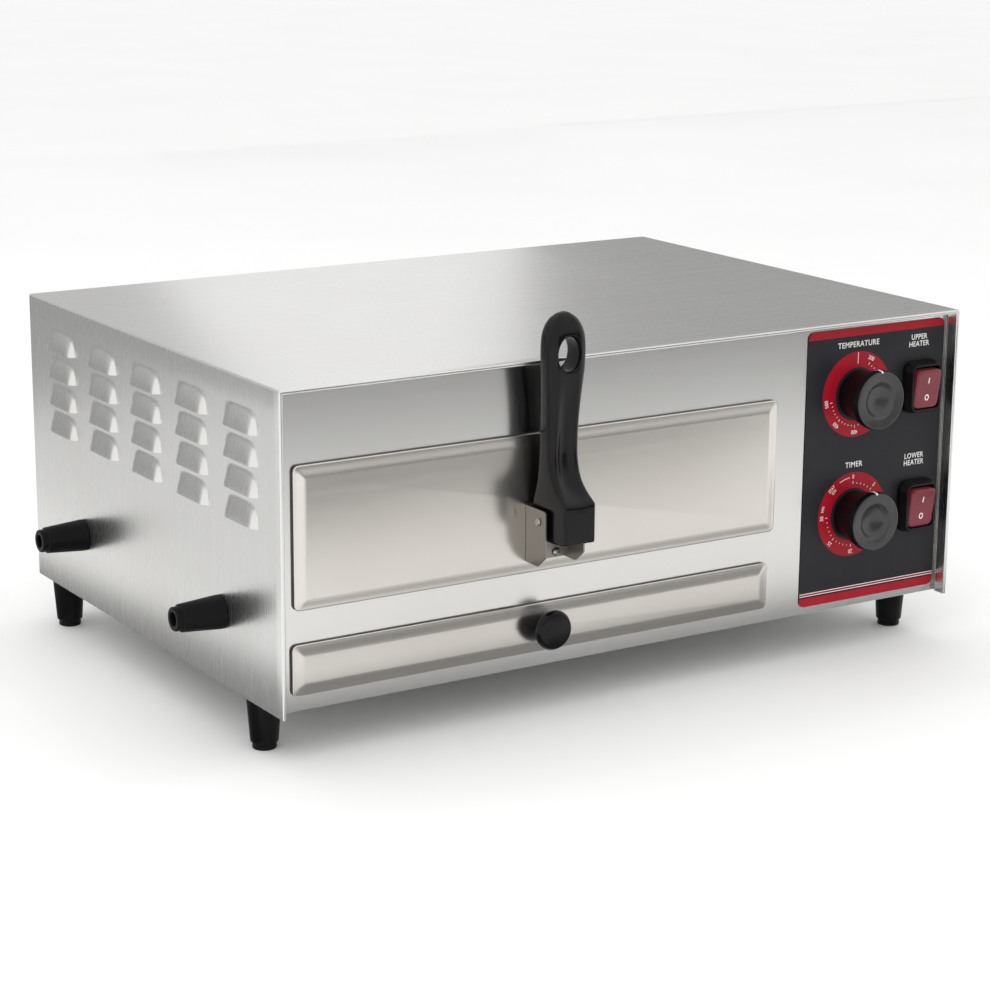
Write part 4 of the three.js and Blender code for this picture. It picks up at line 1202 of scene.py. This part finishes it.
def make_screw(node, axis, body, head, length):
    """A pan-head screw with a cross recess. head is its [radius, height]; axis points out of it."""
    low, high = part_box(node)
    axis = Vector(axis)
    middle = (low + high) / 2
    reach = abs((high - low).dot(axis)) / 2
    top = middle + axis * reach
    head_r, head_h = head
    shank_r = head_r * SHANK_SHARE
    profile = soften(
        [(0, 0), (head_r * 0.55, 0), (head_r, -head_h * 0.6), (head_r, -head_h), (shank_r, -head_h),
         (shank_r, -length + 0.6), (shank_r - 0.5, -length), (0, -length)],
        {1: head_r * 0.4, 2: head_h * 0.25, 3: 0.1},
    )
    mesh = turned(node + "_head", profile, top, axis, sides=40)
    screw = new_piece(node + "_head", mesh, body, "fastener_steel", [node])
    side = axis.orthogonal().normalized()
    other = axis.cross(side)
    arms = []
    for i, (long, short) in enumerate(((side, other), (other, side))):
        half, thin = shank_r * MM, head_r * 0.12 * MM
        ring = [long * half + short * thin, short * thin - long * half,
                -long * half - short * thin, long * half - short * thin]
        rings = [[top + corner * 0.5 - axis * head_h * 0.55 * MM for corner in ring],
                 [top + corner + axis * 0.3 * MM for corner in ring]]
        arms.append(cutter(f"recess_{i}", rings))
    carve(screw, arms, 35)


def make_screws():
    """The screws of the feet, of the bumpers and of the handle's bracket."""
    for node in frame["nodes"]:
        if node.endswith("_foot_screw"):
            make_screw(node, (0, 0, -1), "oven", *LONG_SCREW)
        elif node.endswith("_bumper_screw"):
            make_screw(node, (-1 if node.startswith("left") else 1, 0, 0), "oven", *LONG_SCREW)
        elif node.startswith("bracket_screw"):
            make_screw(node, (0, -1, 0), "door_carriage", *SHORT_SCREW)


def make_pin():
    """The handle's pin, with a low head at each end."""
    end = PIN_REACH + 1.2
    profile = soften(
        [(0, -end), (2.2, -end), (PIN_HEAD_R, -PIN_REACH), (PIN_SHANK_R, -PIN_REACH),
         (PIN_SHANK_R, PIN_REACH), (PIN_HEAD_R, PIN_REACH), (2.2, end), (0, end)],
        {1: 0.6, 2: 0.15, 5: 0.15, 6: 0.6},
    )
    mesh = turned("pivot_rivet", profile, centre("handle_pin"), (1, 0, 0), sides=40)
    new_piece("pivot_rivet", mesh, "door_carriage", "fastener_steel", ["handle_pin"])


# ---- Everything that is built for the oven
make_wrap()
make_bezel("door_face", "door_front", "door_carriage")
make_bezel("tray_face", "crumb_tray_front", "crumb_tray")
make_feet()
make_handle()
make_tray_knob()
make_knob("temperature_dial_knob", "temperature_knob", "temperature_control", UPPER_Z)
make_knob("timer_dial_knob", "timer_knob", "timer_control", LOWER_Z)
make_rocker("upper", UPPER_Z)
make_rocker("lower", LOWER_Z)
make_red_print()
make_white_print()
make_rack()
make_element("upper_element", UPPER_ELEMENT_Z)
make_element("lower_element", LOWER_ELEMENT_Z)
make_screws()
make_pin()

# Nodes that stay as the CAD model has them, and the width of their softened edges
kept_edges = {
    "front_panel": 0.25, "back_panel": 0.25, "base_pan": 0.25, "handle_bracket": 0.3, "control_overlay": 0.1,
    "upper_switch_housing": 0.5, "lower_switch_housing": 0.5, "door_inner_pan": 0.3, "crumb_tray_pan": 0.3,
    "chamber_liner": 0.3, "control_divider": 0.3, "cord_gland": 0.3, "terminal_block": 0.4,
}
for kept, width in kept_edges.items():
    soften_edges(frame["nodes"][kept], width)
